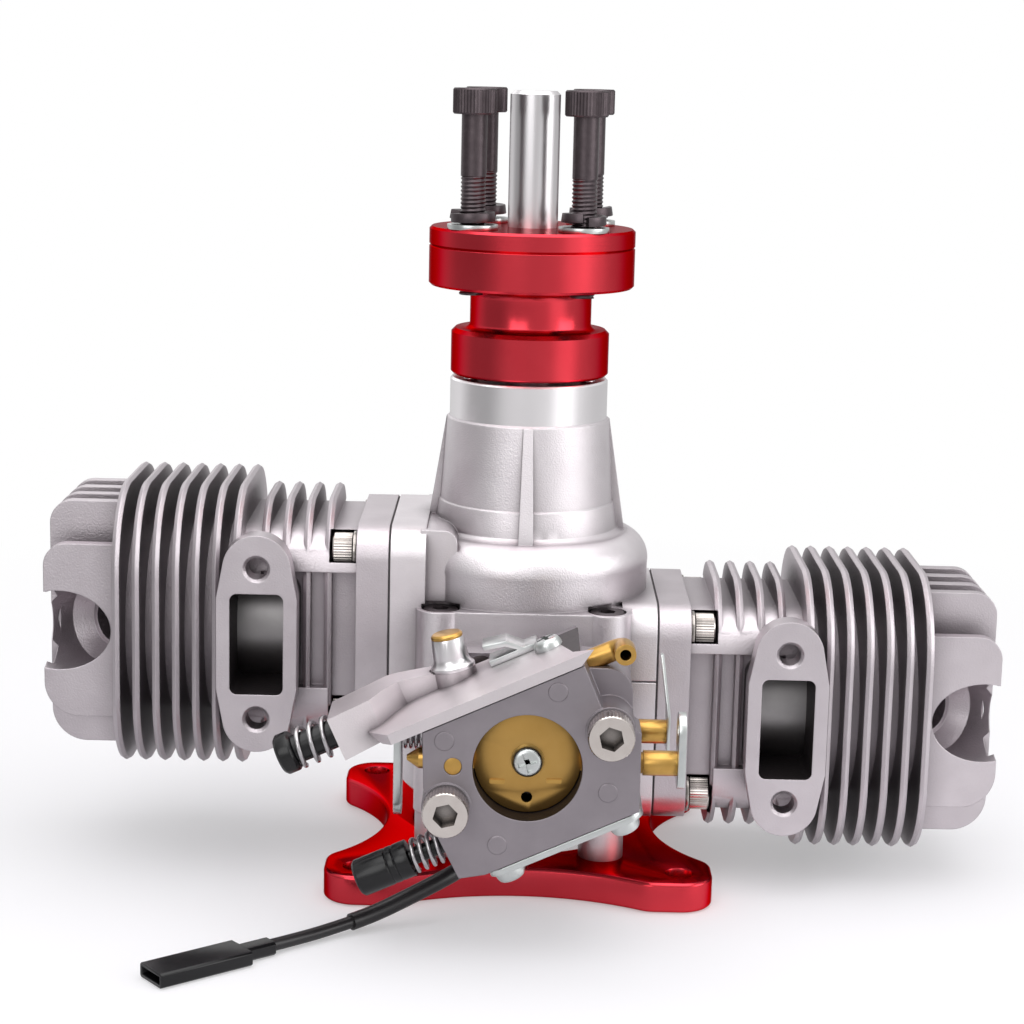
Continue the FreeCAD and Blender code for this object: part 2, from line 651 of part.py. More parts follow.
def cylinder():
    """A finned cylinder with its head in one casting, in the cylinder's own frame."""
    base = PAD_X + GASKET_T
    solids = [
        plate_x(FLANGE_HALF, FLANGE_HALF, FLANGE_R, base, base + FLANGE_T),
        plate_x(BARREL_HALF, BARREL_HALF, BARREL_R, base + FLANGE_T / 2, BARREL_END),
        cyl(SPIGOT_R, (base - SPIGOT_LEN, 0, 0), X, SPIGOT_LEN + 1),
        cyl(CORE_R, (BARREL_END - 2, 0, 0), X, FIN_LAST_X - BARREL_END + 3.5)]
    body = fuse(solids)
    recess = block((base + FLANGE_T, -BARREL_HALF - 1, RECESS_BOTTOM),
                   (PORT_X, -BARREL_HALF + RECESS_DEPTH, RECESS_TOP))
    rear = recess.mirror(Vector(0, 0, 0), Y)
    recesses = [recess, rear]
    pockets = []
    for y in (-1, 1):
        for z in (-1, 1):
            at = (base + FLANGE_T, y * BOLT_OFFSET, z * BOLT_OFFSET)
            pockets.append(cyl(BOLT_POCKET_R, at, X, POCKET_DEPTH))
        wall, rim = sorted((y * (BARREL_HALF - RECESS_DEPTH), y * (BARREL_HALF + 1)))
        x0 = base + FLANGE_T
        recesses.append(block((x0, wall, -BOLT_OFFSET), (x0 + POCKET_DEPTH, rim, 0)))
    body = cut(body, recesses + pockets)
    extras = [fin(SMALL_FIN_FIRST_X + i * SMALL_FIN_PITCH, SMALL_FIN_HALF_Y, SMALL_FIN_HALF_Z, SMALL_FIN_R)
              for i in range(SMALL_FIN_COUNT)]
    extras = [cut(f, pockets) for f in extras]
    extras += [fin(FIN_LAST_X - i * FIN_PITCH, FIN_HALF_Y, FIN_HALF_Z, FIN_R) for i in range(FIN_COUNT)]
    extras += head_plates()
    core = block((FIN_LAST_X, -HEAD_CORE_HALF_Y, -HEAD_CORE_HALF_Z),
                 (HEAD_CORE_END, HEAD_CORE_HALF_Y, HEAD_CORE_HALF_Z))
    extras.append(core)
    direction = plug_axis()
    origin = Vector(PLUG_AXIS_X, 0, 0)
    side_y = HEAD_PLATE_PITCH * (HEAD_PLATE_COUNT - 1) / 2 + HEAD_PLATE_T / 2
    boss = cyl(PLUG_BOSS_R, origin + direction * 4, direction, HEAD_END)
    extras.append(boss.common(block((FIN_LAST_X, -side_y, -FIN_HALF_Z), (HEAD_END - 1.2, 0, FIN_HALF_Z))))
    extras += exhaust_stub()
    body = fuse([body] + extras)
    cuts = [
        cyl(BORE_R, (base - SPIGOT_LEN - 1, 0, 0), X, SQUISH_X - base + SPIGOT_LEN + 1),
        Part.makeCone(CHAMBER_R, CHAMBER_TOP_R, CHAMBER_DEPTH, Vector(SQUISH_X, 0, 0), X),
        cyl(PLUG_HOLE_R, origin, direction, PLUG_SEAT + 1),
        Part.makeCone(PLUG_SEAT_R, PLUG_RECESS_R, PLUG_CONE, origin + direction * PLUG_SEAT, direction),
        cyl(PLUG_RECESS_R, origin + direction * (PLUG_SEAT + PLUG_CONE), direction, HEAD_END),
        plate_y(PORT_HALF_X, PORT_HALF_Z, PORT_CORNER, -EXHAUST_FACE_Y - 1, -BORE_R * 0.7, (PORT_X, 0))]
    for z in (-1, 1):
        at = (PORT_X, -EXHAUST_FACE_Y, z * EXHAUST_HOLE_HALF)
        cuts.append(cyl(EXHAUST_HOLE_R, at, Y, EXHAUST_T))
        cuts.append(Part.makeCone(EXHAUST_HOLE_R + 0.6, EXHAUST_HOLE_R, 0.6, Vector(*at), Y))
        for y in (-1, 1):
            at = (base - 1, y * BOLT_OFFSET, z * BOLT_OFFSET)
            cuts.append(cyl(M4[0] + FIT_GAP, at, X, FLANGE_T + 1))
    for angle in TRANSFER_ANGLES:
        cuts.append(transfer_duct(angle, base - SPIGOT_LEN - 1, TRANSFER_END))
        window = block((TRANSFER_END - TRANSFER_WINDOW, BORE_R * 0.8, -TRANSFER_W / 2),
                       (TRANSFER_END, TRANSFER_IN + 0.5, TRANSFER_W / 2))
        window.rotate(Vector(0, 0, 0), X, 180 + angle)
        cuts.append(window)
    return cut(body, cuts)


def base_gasket(side, height):
    """The paper gasket under a cylinder flange."""
    sheet = plate_x(FLANGE_HALF - 0.3, FLANGE_HALF - 0.3, FLANGE_R, PAD_X, PAD_X + GASKET_T)
    holes = [cyl(SPIGOT_R + FACE_GAP, (PAD_X - 1, 0, 0), X, 3)]
    for y in (-1, 1):
        for z in (-1, 1):
            holes.append(cyl(M4[0] + FACE_GAP, (PAD_X - 1, y * BOLT_OFFSET, z * BOLT_OFFSET), X, 3))
    for angle in TRANSFER_ANGLES:
        holes.append(transfer_duct(angle, PAD_X - 1, PAD_X + 2))
    return placed_cylinder(cut(sheet, holes), side, height)


def cylinder_bolts():
    """Eight socket screws with their washers, four to a cylinder."""
    bolts = []
    washers = []
    seat_x = PAD_X + GASKET_T + FLANGE_T
    for side, height in ((-1, STAGGER_LEFT), (1, STAGGER_RIGHT)):
        for y in (-1, 1):
            for z in (-1, 1):
                at = Vector(side * seat_x, y * BOLT_OFFSET, height + z * BOLT_OFFSET)
                washers.append(tube(M4[1] + 0.4, M4[0] + FIT_GAP, at, X * side, CYL_WASHER_T))
                bolts.append(socket_screw(M4, at + X * (side * CYL_WASHER_T), X * side, 13.0))
    return group(bolts), group(washers)


def case_bolts():
    """The black screws that clamp the two case halves."""
    return group([socket_screw(M4, (p.x, p.y, CASE_SEAT_Z), Z, CASE_BOLT_LEN) for p in corner_points(0)])


def manifold_screw_points():
    """Where the intake block is screwed to the case, as x and z."""
    mid = (MANIFOLD_LOW + MANIFOLD_HIGH) / 2
    reach = (MANIFOLD_HIGH - MANIFOLD_LOW) / 2 - 3.6
    return [(sx * 8.1, mid + sz * reach) for sx in (-1, 1) for sz in (-1, 1)]


def nose_screw_points():
    """The small screws in the nose's end face, as x and y."""
    return [(NOSE_SCREW_AT * cos(radians(a)), NOSE_SCREW_AT * sin(radians(a))) for a in (20, 160, 200, 340)]


def sensor_screw_points():
    """Where the sensor is screwed to the back of the nose ring, as x and z."""
    return [(sx * 4.2, (SENSOR_TOP + NOSE_RING_Z) / 2) for sx in (-1, 1)]


def reed_block():
    """The intake block on the case's front face, with a reed cage that points into the crank chamber."""
    y0 = -FRONT_FACE_Y - MANIFOLD_T
    mid = (MANIFOLD_LOW + MANIFOLD_HIGH) / 2
    plate = plate_y(MANIFOLD_HALF_X, (MANIFOLD_HIGH - MANIFOLD_LOW) / 2, 4.0, y0, -FRONT_FACE_Y, (0, mid))
    ears = []
    for at in carb_bolt_points():
        ears.append(cyl(CARB_BOSS_R + 0.4, (at.x, y0, at.z), Y, MANIFOLD_T))
    plate = fuse([plate] + ears)
    bosses = [cyl(CASE_BOSS_R + FACE_GAP, point, Z, CASE_BOSS_TOP) for point in corner_points(0)]
    plate = cut(plate, bosses)
    half = INTAKE_HALF_X - FACE_GAP
    heel, low_tip, high_tip, top = reed_slope()
    outline = [(y0 + 1, heel), (-FRONT_FACE_Y, heel), (REED_TIP_Y, low_tip), (REED_TIP_Y, high_tip),
               (-FRONT_FACE_Y, top), (y0 + 1, top)]
    outline = [Vector(-half, a, b) for a, b in outline]
    cage = Part.Face(Part.makePolygon(outline + outline[:1])).extrude(X * (2 * half))
    body = fuse([plate, cage])
    throat = cyl(THROTTLE_BORE_R - 2.2, (CARB_X, y0, (heel + top) / 2), Y, MANIFOLD_T - 0.5)
    window = block((-half + REED_WALL, -FRONT_FACE_Y - 1.0, heel - 1),
                   (half - REED_WALL, REED_TIP_Y - REED_WALL, top + 1))
    holes = [throat, window]
    for at in manifold_screw_points():
        holes.append(screw_sink((at[0], y0, at[1]), Y))
    for at in carb_bolt_points():
        holes.append(cyl(M5[0] + FIT_GAP, (at.x, y0, at.z), Y, MANIFOLD_T))
    return cut(body, holes)


def reed_slope():
    """Heights of the reed cage: lower heel, both edges of its tip, upper heel."""
    low = INTAKE_LOW + FACE_GAP
    high = INTAKE_HIGH - FACE_GAP
    return low, (low + high) / 2 - 2, (low + high) / 2 + 2, high


def reed_petals():
    """Two thin reeds that lie on the slopes of the cage."""
    heel, low_tip, high_tip, top = reed_slope()
    half = INTAKE_HALF_X - FACE_GAP - 0.8
    petals = []
    for foot, end in ((heel, low_tip), (top, high_tip)):
        a = Vector(-half, -FRONT_FACE_Y, foot)
        b = Vector(-half, REED_TIP_Y, end)
        along = (b - a).normalize()
        out = Vector(0, along.z, -along.y)
        if (end - foot) * out.z > 0:
            out = out.negative()
        p = [a + along * 0.3, b - along * 0.1]
        corners = [p[0], p[1], p[1] + out * REED_T, p[0] + out * REED_T]
        petals.append(Part.Face(Part.makePolygon(corners + corners[:1])).extrude(X * (2 * half)))
    return group(petals)


def screw_sink(seat, inward):
    """A countersunk hole for the flat screws, to cut away."""
    r = M3[0] + FIT_GAP
    return turned([(0, 0), (r + M3[0], 0), (r, M3[0]), (r, 12), (0, 12)], Vector(*seat), inward)


def flat_screws():
    """Countersunk screws: four up through the mount plate and four through the intake block."""
    solids = [flat_screw((p.x, p.y, 0), Z.negative(), 2 * M4[0], M4[0], 10.5) for p in corner_points(0)]
    y0 = -FRONT_FACE_Y - MANIFOLD_T
    for at in manifold_screw_points():
        solids.append(flat_screw((at[0], y0, at[1]), Y.negative(), 2 * M3[0], M3[0], MANIFOLD_T + 4.0))
    return group(solids)


def to_carb(shape):
    """Moves a piece drawn as (u, y, v) about the choke bore into its slanted place."""
    body = shape.copy()
    body.rotate(Vector(0, 0, 0), Y, -CARB_TILT)
    body.translate(Vector(CARB_X, 0, CARB_Z))
    return body


def carb_point(u, v, y=0.0):
    """A carburettor point as a point of the engine."""
    t = radians(CARB_TILT)
    return Vector(CARB_X + u * cos(t) - v * sin(t), y, CARB_Z + u * sin(t) + v * cos(t))


def carb_direction(u, v):
    """A direction along the carburettor's slanted axes."""
    t = radians(CARB_TILT)
    return Vector(u * cos(t) - v * sin(t), 0, u * sin(t) + v * cos(t))


def carb_bolt_points():
    """The two long bolts that hold the carburettor, left then right."""
    return [carb_point(u, v) for u, v in CARB_BOLTS]


def carb_outline(shrink=0.0):
    """The carburettor casting seen from the front, as (u, v) corners."""
    top = CARB_TOP_V
    low = CARB_LOW_V
    left = -14.7 + shrink
    right = 16.8 - shrink
    return [(left, top), (right, top), (right - 0.2, 5.3), (21.3 - shrink, -2.1), (15.3 - shrink, low),
            (left - 0.2, low), (-19.6 + shrink, low + 1.2), (-20.0 + shrink, -5.4), (-18.7 + shrink, 4.0)]


def prism_y(points, y0, y1):
    """A prism along Y over an outline of (first, second) corners."""
    wire = Part.makePolygon([Vector(a, y0, b) for a, b in points + points[:1]])
    return Part.Face(wire).extrude(Y * (y1 - y0))


def carb_body():
    """The carburettor casting: front and rear stages, bolt bosses, venturi and its drillings."""
    back = CARB_FACE_Y + CARB_DEPTH
    front = prism_y(carb_outline(), CARB_FACE_Y, CARB_FACE_Y + 9.0)
    rear = prism_y(carb_outline(1.1), CARB_FACE_Y + 8.0, back)
    bosses = []
    for u, v in CARB_BOLTS:
        bosses.append(cyl(CARB_BOSS_R, (u, CARB_FACE_Y - 0.3, v), Y, CARB_DEPTH + 0.3))
    ear = block((EAR_LEFT, CARB_FACE_Y + 8.0, CARB_Z), (EAR_RIGHT, CARB_FACE_Y + 24.0, EAR_TOP))
    round_edges = [e for e in ear.Edges if e.BoundBox.YLength > 10 and e.CenterOfMass.z > CARB_Z + 5
                   and e.CenterOfMass.x > EAR_LEFT + 1]
    ear = ear.makeFillet(EAR_R, round_edges)
    neck = cyl(SPRING_BOSS_R, (THROTTLE_LEFT + 0.6, THROTTLE_Y, CARB_Z), X, 10)
    body = fuse([to_carb(fuse([front, rear] + bosses)), ear, neck])
    centre = Vector(CARB_X, CARB_FACE_Y, CARB_Z)
    rear_start = CARB_DEPTH - THROTTLE_BORE_DEPTH
    passage = turned([(0, -1), (CHOKE_BORE_R, -1), (CHOKE_BORE_R, CHOKE_BORE_DEPTH),
                      (THROAT_R, CHOKE_BORE_DEPTH + 1.0), (THROTTLE_BORE_R, rear_start),
                      (THROTTLE_BORE_R, CARB_DEPTH + 1), (0, CARB_DEPTH + 1)], centre, Y)
    cuts = [passage, elbow_seat()]
    for y in (CHOKE_Y, THROTTLE_Y):
        cuts.append(cyl(SPINDLE_R + RUN_GAP, (-40, y, CARB_Z), X, 80))
    for at in carb_bolt_points():
        cuts.append(cyl(M5[0] + FIT_GAP, (at.x, CARB_FACE_Y - 2, at.z), Y, CARB_DEPTH + 4))
    cuts.append(cyl(BRASS_PLUG_R + 0.02, (BRASS_PLUG_X, CARB_FACE_Y - 1, CARB_Z), Y, 4.0))
    mix = carb_point(-30, MIXTURE_V, MIXTURE_Y)
    cuts.append(cyl(MIXTURE_NEEDLE_R + RUN_GAP, mix, carb_direction(1, 0), 24.0))
    for u in COVER_SCREW_U:
        for y in COVER_SCREW_Y:
            low = carb_point(u, CARB_LOW_V - 1, y)
            cuts.append(cyl(COVER_SCREW_R + FIT_GAP, low, carb_direction(0, 1), 6.5))
    high = carb_point(PUMP_SCREW_U, CARB_TOP_V + 1, PUMP_SCREW_Y)
    cuts.append(cyl(COVER_SCREW_R + FIT_GAP, high, carb_direction(0, -1), 6.5))
    return cut(body, cuts)


def prism_v(points, v0, v1):
    """A prism along the carburettor's v axis over an outline of (u, y) corners."""
    wire = Part.makePolygon([Vector(a, b, v0) for a, b in points + points[:1]])
    return Part.Face(wire).extrude(Z * (v1 - v0))


def elbow_seat():
    """The hole in the casting's upper corner that holds the fuel elbow, to cut away."""
    return cyl(ELBOW_R + FIT_GAP, carb_point(ELBOW_ROOT_U, ELBOW_V, ELBOW_Y), carb_direction(1, 0), 12)


def cover_plate(u0, u1, v0, v1, y0, y1, radius):
    """A flat cover that lies along the slant, with its corners rounded as seen from above."""
    plate = block((u0, y0, v0), (u1, y1, v1))
    edges = [e for e in plate.Edges if e.BoundBox.ZLength > abs(v1 - v0) * 0.9 and e.BoundBox.XLength < 1e-6
             and e.BoundBox.YLength < 1e-6]
    return plate.makeFillet(radius, edges)


def carb_gaskets():
    """The pump and metering gaskets, and the gasket in front of the insulator."""
    y0 = CARB_FACE_Y + 1.0
    y1 = CARB_FACE_Y + CARB_DEPTH - 4.0
    pump = block((-14.0, y0, CARB_TOP_V), (16.2, y1, CARB_TOP_V + COVER_GASKET_T))
    low = block((-13.8, y0 + 1, CARB_LOW_V - COVER_GASKET_T), (14.6, y1, CARB_LOW_V))
    tools = [cyl(COVER_SCREW_R + FIT_GAP, (u, y, CARB_LOW_V - 2), Z, 4)
             for u in COVER_SCREW_U for y in COVER_SCREW_Y]
    pump = pump.cut(cyl(COVER_SCREW_R + FIT_GAP, (PUMP_SCREW_U, PUMP_SCREW_Y, CARB_TOP_V - 1), Z, 4))
    return [to_carb(pump), to_carb(cut(low, tools))]


def pump_cover():
    """The fuel pump cover: a plate with a thick arm whose lug carries the idle screw."""
    base = CARB_TOP_V + COVER_GASKET_T
    top = base + PUMP_COVER_T
    y0 = CARB_FACE_Y - 1.0
    y1 = CARB_FACE_Y + 24.0
    plan = [(-24.5, y0 + 7.0), (-20.5, y0), (PUMP_TIP_U, y0), (15.6, y0 + 4.4), (11.4, y1 - 4.2),
            (2.0, y1 - 4.2), (0.5, y1), (-15.5, y1), (-24.5, y1 - 3.0)]
    plate = prism_v(plan, base, top).common(prism_y(
        [(-22.5, base), (16.4, base), (PUMP_TIP_U, top), (-24.5, top), (-24.5, top - 0.6)], y0, y1))
    arm_plan = [(-6.8, y0 + 18.6), (-17.5, y0 + 17.0), (-22.5, y0 + 9.0), (LUG_END_U, y0 + 6.0),
                (LUG_END_U, y0 + 18.4), (-18.0, y1 - 1.0), (-6.8, y1 - 1.0)]
    arm_side = [(LUG_END_U, 12.9), (-22.0, 12.9), (-18.5, base + 0.4), (-5.0, base + 0.4), (-7.2, top + 2.2),
                (-20.0, top + 5.0), (LUG_END_U, top + 5.4)]
    arm = prism_v(arm_plan, 10, 30).common(prism_y(arm_side, y0, y1))
    foot, upward = post_place()
    below = to_carb(block((-40, 2 * y0, base - 40), (40, 0, base + 0.2)))
    seat = cyl(POST_FOOT_R, foot - upward * 5, upward, 5).cut(below)
    body = fuse([to_carb(fuse([plate, arm])), seat])
    under = to_carb(block((-30, y0, base - 12), (30, y1, base)))
    body = body.cut(under.common(block((-10, y0, 0), (40, y1, 90))))
    screw_at = carb_point(PUMP_SCREW_U, base - 1, PUMP_SCREW_Y)
    tools = [cyl(IDLE_CORE_R + RUN_GAP, carb_point(-40, LUG_V, LUG_Y), carb_direction(1, 0), IDLE_REACH),
             cyl(COVER_SCREW_R + FIT_GAP, screw_at, carb_direction(0, 1), 6),
             cyl(POST_PIN_R + FIT_GAP, foot - upward * POST_PIN_LEN, upward, 8),
             cyl(POST_FOOT_R + FACE_GAP, foot, upward, 8)]
    return cut(body, tools)


def metering_cover():
    """The plated cover over the metering chamber, with its rim turned and a vent hole."""
    high = CARB_LOW_V - COVER_GASKET_T
    y0 = CARB_FACE_Y + 1.0
    y1 = CARB_FACE_Y + CARB_DEPTH - 4.0
    plate = cover_plate(-14.6, 15.6, high - METERING_COVER_T, high, y0, y1, 3.0)
    dome = cover_plate(-8.6, 9.6, high - METERING_COVER_T - 0.9, high - METERING_COVER_T, y0 + 5, y1 - 5, 3.0)
    tools = [cyl(COVER_SCREW_R + FIT_GAP, (u, y, high - 4), Z, 5)
             for u in COVER_SCREW_U for y in COVER_SCREW_Y]
    tools.append(cyl(1.0, (0.5, (y0 + y1) / 2, high - METERING_COVER_T - 2), Z, 3))
    return to_carb(cut(fuse([plate, dome]), tools))


def cover_screws():
    """Pan screws: four under the metering cover and one on the pump cover."""
    low = CARB_LOW_V - COVER_GASKET_T - METERING_COVER_T
    high = CARB_TOP_V + COVER_GASKET_T + PUMP_COVER_T
    screws = []
    for u in COVER_SCREW_U:
        for y in COVER_SCREW_Y:
            at = carb_point(u, low, y)
            screws.append(pan_screw(at, carb_direction(0, -1), 2.9, 2.2, COVER_SCREW_R, 7.0))
    at = carb_point(PUMP_SCREW_U, high, PUMP_SCREW_Y)
    screws.append(pan_screw(at, carb_direction(0, 1), 2.7, 1.9, COVER_SCREW_R, 7.0))
    return group(screws)


def insulator():
    """The plastic block between the carburettor and the intake block."""
    y0 = CARB_FACE_Y + CARB_DEPTH
    y1 = -FRONT_FACE_Y - MANIFOLD_T
    parts = [cyl(THROTTLE_BORE_R + 4.5, (CARB_X, y0, CARB_Z), Y, y1 - y0)]
    for at in carb_bolt_points():
        parts.append(cyl(CARB_BOSS_R + 0.4, (at.x, y0, at.z), Y, y1 - y0))
    bar = to_carb(block((CARB_BOLTS[0][0], y0, -6.4), (CARB_BOLTS[1][0] - 1.0, y1, 5.9)))
    body = fuse(parts + [bar])
    tools = [cyl(THROTTLE_BORE_R + FACE_GAP, (CARB_X, y0 - 1, CARB_Z), Y, y1 - y0 + 2)]
    tools += [cyl(M5[0] + FIT_GAP, (p.x, y0 - 1, p.z), Y, y1 - y0 + 2) for p in carb_bolt_points()]
    return cut(body, tools)


def carb_bolts():
    """The two long socket screws, whose heads stand on the front bosses."""
    seat = CARB_FACE_Y - 0.3
    length = -FRONT_FACE_Y - 1.6 - seat
    return group([socket_screw(M5, (p.x, seat, p.z), Y.negative(), length) for p in carb_bolt_points()])


def spindle(y, left, right, disc_half):
    """A brass shaft across the carburettor, milled flat where its disc is screwed on."""
    shaft = cyl(SPINDLE_R, (left, y, CARB_Z), X, right - left)
    shaft = shaft.fuse(cyl(SPINDLE_END_R, (SPINDLE_STEP_X, y, CARB_Z), X, right - SPINDLE_STEP_X))
    flat = block((CARB_X - disc_half, y - SPINDLE_R - 1, CARB_Z - SPINDLE_R),
                 (CARB_X + disc_half, y + DISC_T / 2, CARB_Z + SPINDLE_R))
    return shaft.cut(flat)


def choke_parts():
    """Choke shaft with a pointed left end, disc, its screw and the outer lever."""
    shaft = spindle(CHOKE_Y, CHOKE_LEFT, CHOKE_RIGHT, CHOKE_BORE_R)
    tip = Part.makeCone(SPINDLE_R, 0.5, 2.2, Vector(CHOKE_LEFT, CHOKE_Y, CARB_Z), X.negative())
    shaft = shaft.fuse(tip)
    disc = cyl(CHOKE_BORE_R - 0.2, (CARB_X, CHOKE_Y - DISC_T / 2, CARB_Z), Y, DISC_T)
    disc = cut(disc, [cyl(1.0, (CARB_X, CHOKE_Y - 2, CARB_Z - 6.9), Y, 4),
                      cyl(1.25 + FIT_GAP, (CARB_X, CHOKE_Y - 2, CARB_Z), Y, 4)])
    screw = pan_screw((CARB_X, CHOKE_Y - DISC_T / 2, CARB_Z), Y.negative(), 3.0, 1.8, 1.25, DISC_T + 1.4)
    shaft = shaft.cut(cyl(1.25 + FIT_GAP, (CARB_X, CHOKE_Y - 1, CARB_Z), Y, 3.1))
    lever = lever_plate(CHOKE_RIGHT, 1.4, CHOKE_Y, CARB_Z, 9.6, 4.6, 3.6)
    return shaft, disc, screw, lever


def lever_plate(x, thick, y, z, up, down, half_y):
    """A flat lever square to X, with round ends, on a shaft at y and z."""
    wire = across_x(rounded_wire(half_y, (up + down) / 2, half_y - 0.1, (y, z + (up - down) / 2)), x)
    plate = Part.Face(wire).extrude(X * thick)
    hole = cyl(1.2, (x - 1, y, z + up - 3.2), X, thick + 2)
    return plate.cut(hole)


def throttle_parts():
    """Throttle shaft, its disc, the cranked lever on the left and the slender arm on the right."""
    shaft = spindle(THROTTLE_Y, THROTTLE_LEFT, THROTTLE_RIGHT, THROTTLE_BORE_R)
    disc = cyl(THROTTLE_BORE_R - 0.15, (CARB_X, THROTTLE_Y - DISC_T / 2, CARB_Z), Y, DISC_T)
    lever = lever_plate(THROTTLE_LEFT - 1.5, 1.5, THROTTLE_Y, CARB_Z, 3.4, 17.4, 3.3)
    corners = [(-3.4, -3.4), (3.4, -3.4), (3.4, 3.4), (0.7, 15.2), (-0.7, 15.2), (-3.4, 3.4)]
    points = [(THROTTLE_Y + a, CARB_Z + b) for a, b in corners]
    wire = Part.makePolygon([Vector(THROTTLE_RIGHT - 3, a, b) for a, b in points + points[:1]])
    outline = Part.Face(wire).extrude(X * 6)
    sheet = [(0, -4), (ARM_T, -4), (ARM_T, 4), (ARM_T - 1.6, 16), (-1.6, 16), (0, 4)]
    strip = [(THROTTLE_RIGHT + a, CARB_Z + b) for a, b in sheet]
    arm = outline.common(prism_y(strip, THROTTLE_Y - 5, THROTTLE_Y + 5))
    return shaft, disc, lever, arm


def idle_screw():
    """The idle speed screw: black knob, core under the spring and thread in the lug."""
    start_u = LUG_END_U - SPRING_ROOM - 3.3
    seat = carb_point(start_u, LUG_V, LUG_Y)
    along = carb_direction(1, 0)
    knob = turned([(0, 0), (3.3, 0), (3.85, 0.6), (3.85, 2.7), (3.3, 3.3), (0, 3.3)], seat, along)
    core = cyl(IDLE_CORE_R, seat + along * 3.3, along, SPRING_ROOM + 6.0)
    slot = to_carb(block((-60, LUG_Y - 0.5, LUG_V - 5), (start_u + 0.9, LUG_Y + 0.5, LUG_V + 5)))
    return fuse([knob, core]).cut(slot)


def mixture_screw():
    """The needle adjuster: a long black cap on a needle, with a spring between cap and casting."""
    along = carb_direction(1, 0)
    seat = carb_point(MIXTURE_U, MIXTURE_V, MIXTURE_Y)
    cap = turned([(0, 0), (3.0, 0), (3.5, 0.5), (3.5, 6.4), (3.3, 6.6), (3.5, 6.8), (3.5, 7.8), (3.3, 8.0),
                  (3.5, 8.2), (3.5, 10.7), (0, 10.7)], seat, along)
    needle = cyl(MIXTURE_NEEDLE_R, seat + along * 10.7, along, 17.0)
    return fuse([cap, needle])


def post_place():
    """The foot of the pump cover's post and the direction it stands in."""
    lean = radians(POST_LEAN)
    upward = Vector(-sin(lean), 0, cos(lean))
    return Vector(*POST_TOP) - upward * POST_H, upward


def post_parts():
    """The bright post on the pump cover and the brass disc on its top."""
    foot, upward = post_place()
    profile = [(0, -POST_PIN_LEN), (POST_PIN_R, -POST_PIN_LEN), (POST_PIN_R, 0), (POST_FOOT_R, 0),
               (POST_FOOT_R, 0.7), (3.3, 2.6, -0.3), (3.0, POST_H), (0, POST_H)]
    post = turned(profile, foot, upward)
    cap = turned([(0, 0), (3.0, 0), (3.0, 0.5), (2.6, 0.9), (0, 0.9)], foot + upward * POST_H, upward)
    return post, cap


def fuel_elbow():
    """The brass inlet: a slanted stem out of the casting, a round corner and a straight end to the front."""
    along = carb_direction(1, 0)
    corner = carb_point(ELBOW_U, ELBOW_V, ELBOW_Y)
    root = carb_point(ELBOW_ROOT_U, ELBOW_V, ELBOW_Y)
    front = Y.negative()
    enter = corner - along * ELBOW_BEND
    leave = corner + front * ELBOW_BEND
    middle = corner + (front - along) * (ELBOW_BEND * (1 - sin(radians(45))))
    path = Part.Wire([Part.LineSegment(root, enter).toShape(), Part.Arc(enter, middle, leave).toShape(),
                      Part.LineSegment(leave, corner + front * ELBOW_REACH).toShape()])
    outer = path.makePipeShell([Part.Wire(Part.makeCircle(ELBOW_R, root, along))], True, False)
    inner = path.makePipeShell([Part.Wire(Part.makeCircle(ELBOW_BORE_R, root, along))], True, False)
    return outer.cut(inner)


def linkage_bracket():
    """The plated bracket that lies behind the pump cover's post."""
    top = CARB_TOP_V + COVER_GASKET_T + PUMP_COVER_T
    corners = [(-0.5, 0), (9.0, 0), (9.0, 1.2), (6.6, 1.2), (4.0, 3.6), (-0.5, 4.4), (-0.5, 3.4), (3.4, 2.6),
               (5.2, 1.2), (-0.5, 1.2)]
    body = prism_y([(u, top + v) for u, v in corners], POST_TOP[1] - 3.0, POST_TOP[1] + 3.0)
    return to_carb(body)


def crankshaft():
    """Three crank pieces: front web with its shaft, centre web, rear web with its stub."""
    webs = []
    front_z = STAGGER_LEFT + THROW_GAP / 2
    rear_z = STAGGER_RIGHT - THROW_GAP / 2
    front = crank_web(front_z, front_z + WEB_T)
    shaft = turned([(0, front_z + WEB_T), (JOURNAL_R, front_z + WEB_T), (JOURNAL_R, NOSE_SHAFT_Z - 0.8),
                    (NOSE_SHAFT_R, NOSE_SHAFT_Z), (NOSE_SHAFT_R, NOSE_SHAFT_TOP - 0.6),
                    (NOSE_SHAFT_R - 0.6, NOSE_SHAFT_TOP), (0, NOSE_SHAFT_TOP)])
    webs.append(fuse([front, shaft]))
    centre_low = STAGGER_RIGHT + THROW_GAP / 2
    centre_high = STAGGER_LEFT - THROW_GAP / 2
    webs.append(cyl(WEB_R, (0, 0, centre_low), Z, centre_high - centre_low))
    stub = cyl(JOURNAL_R, (0, 0, MAIN_FLOOR + 0.4), Z, rear_z - WEB_T - MAIN_FLOOR - 0.4)
    webs.append(fuse([crank_web(rear_z - WEB_T, rear_z), stub]))
    return group(webs)


def crank_web(z0, z1):
    """A round web with two lightening scallops beside its pin."""
    web = cyl(WEB_R, (0, 0, z0), Z, z1 - z0)
    scallops = [cyl(WEB_R * 0.3, (0, side * WEB_R * 1.08, z0 - 1), Z, z1 - z0 + 2) for side in (-1, 1)]
    return cut(web, scallops)


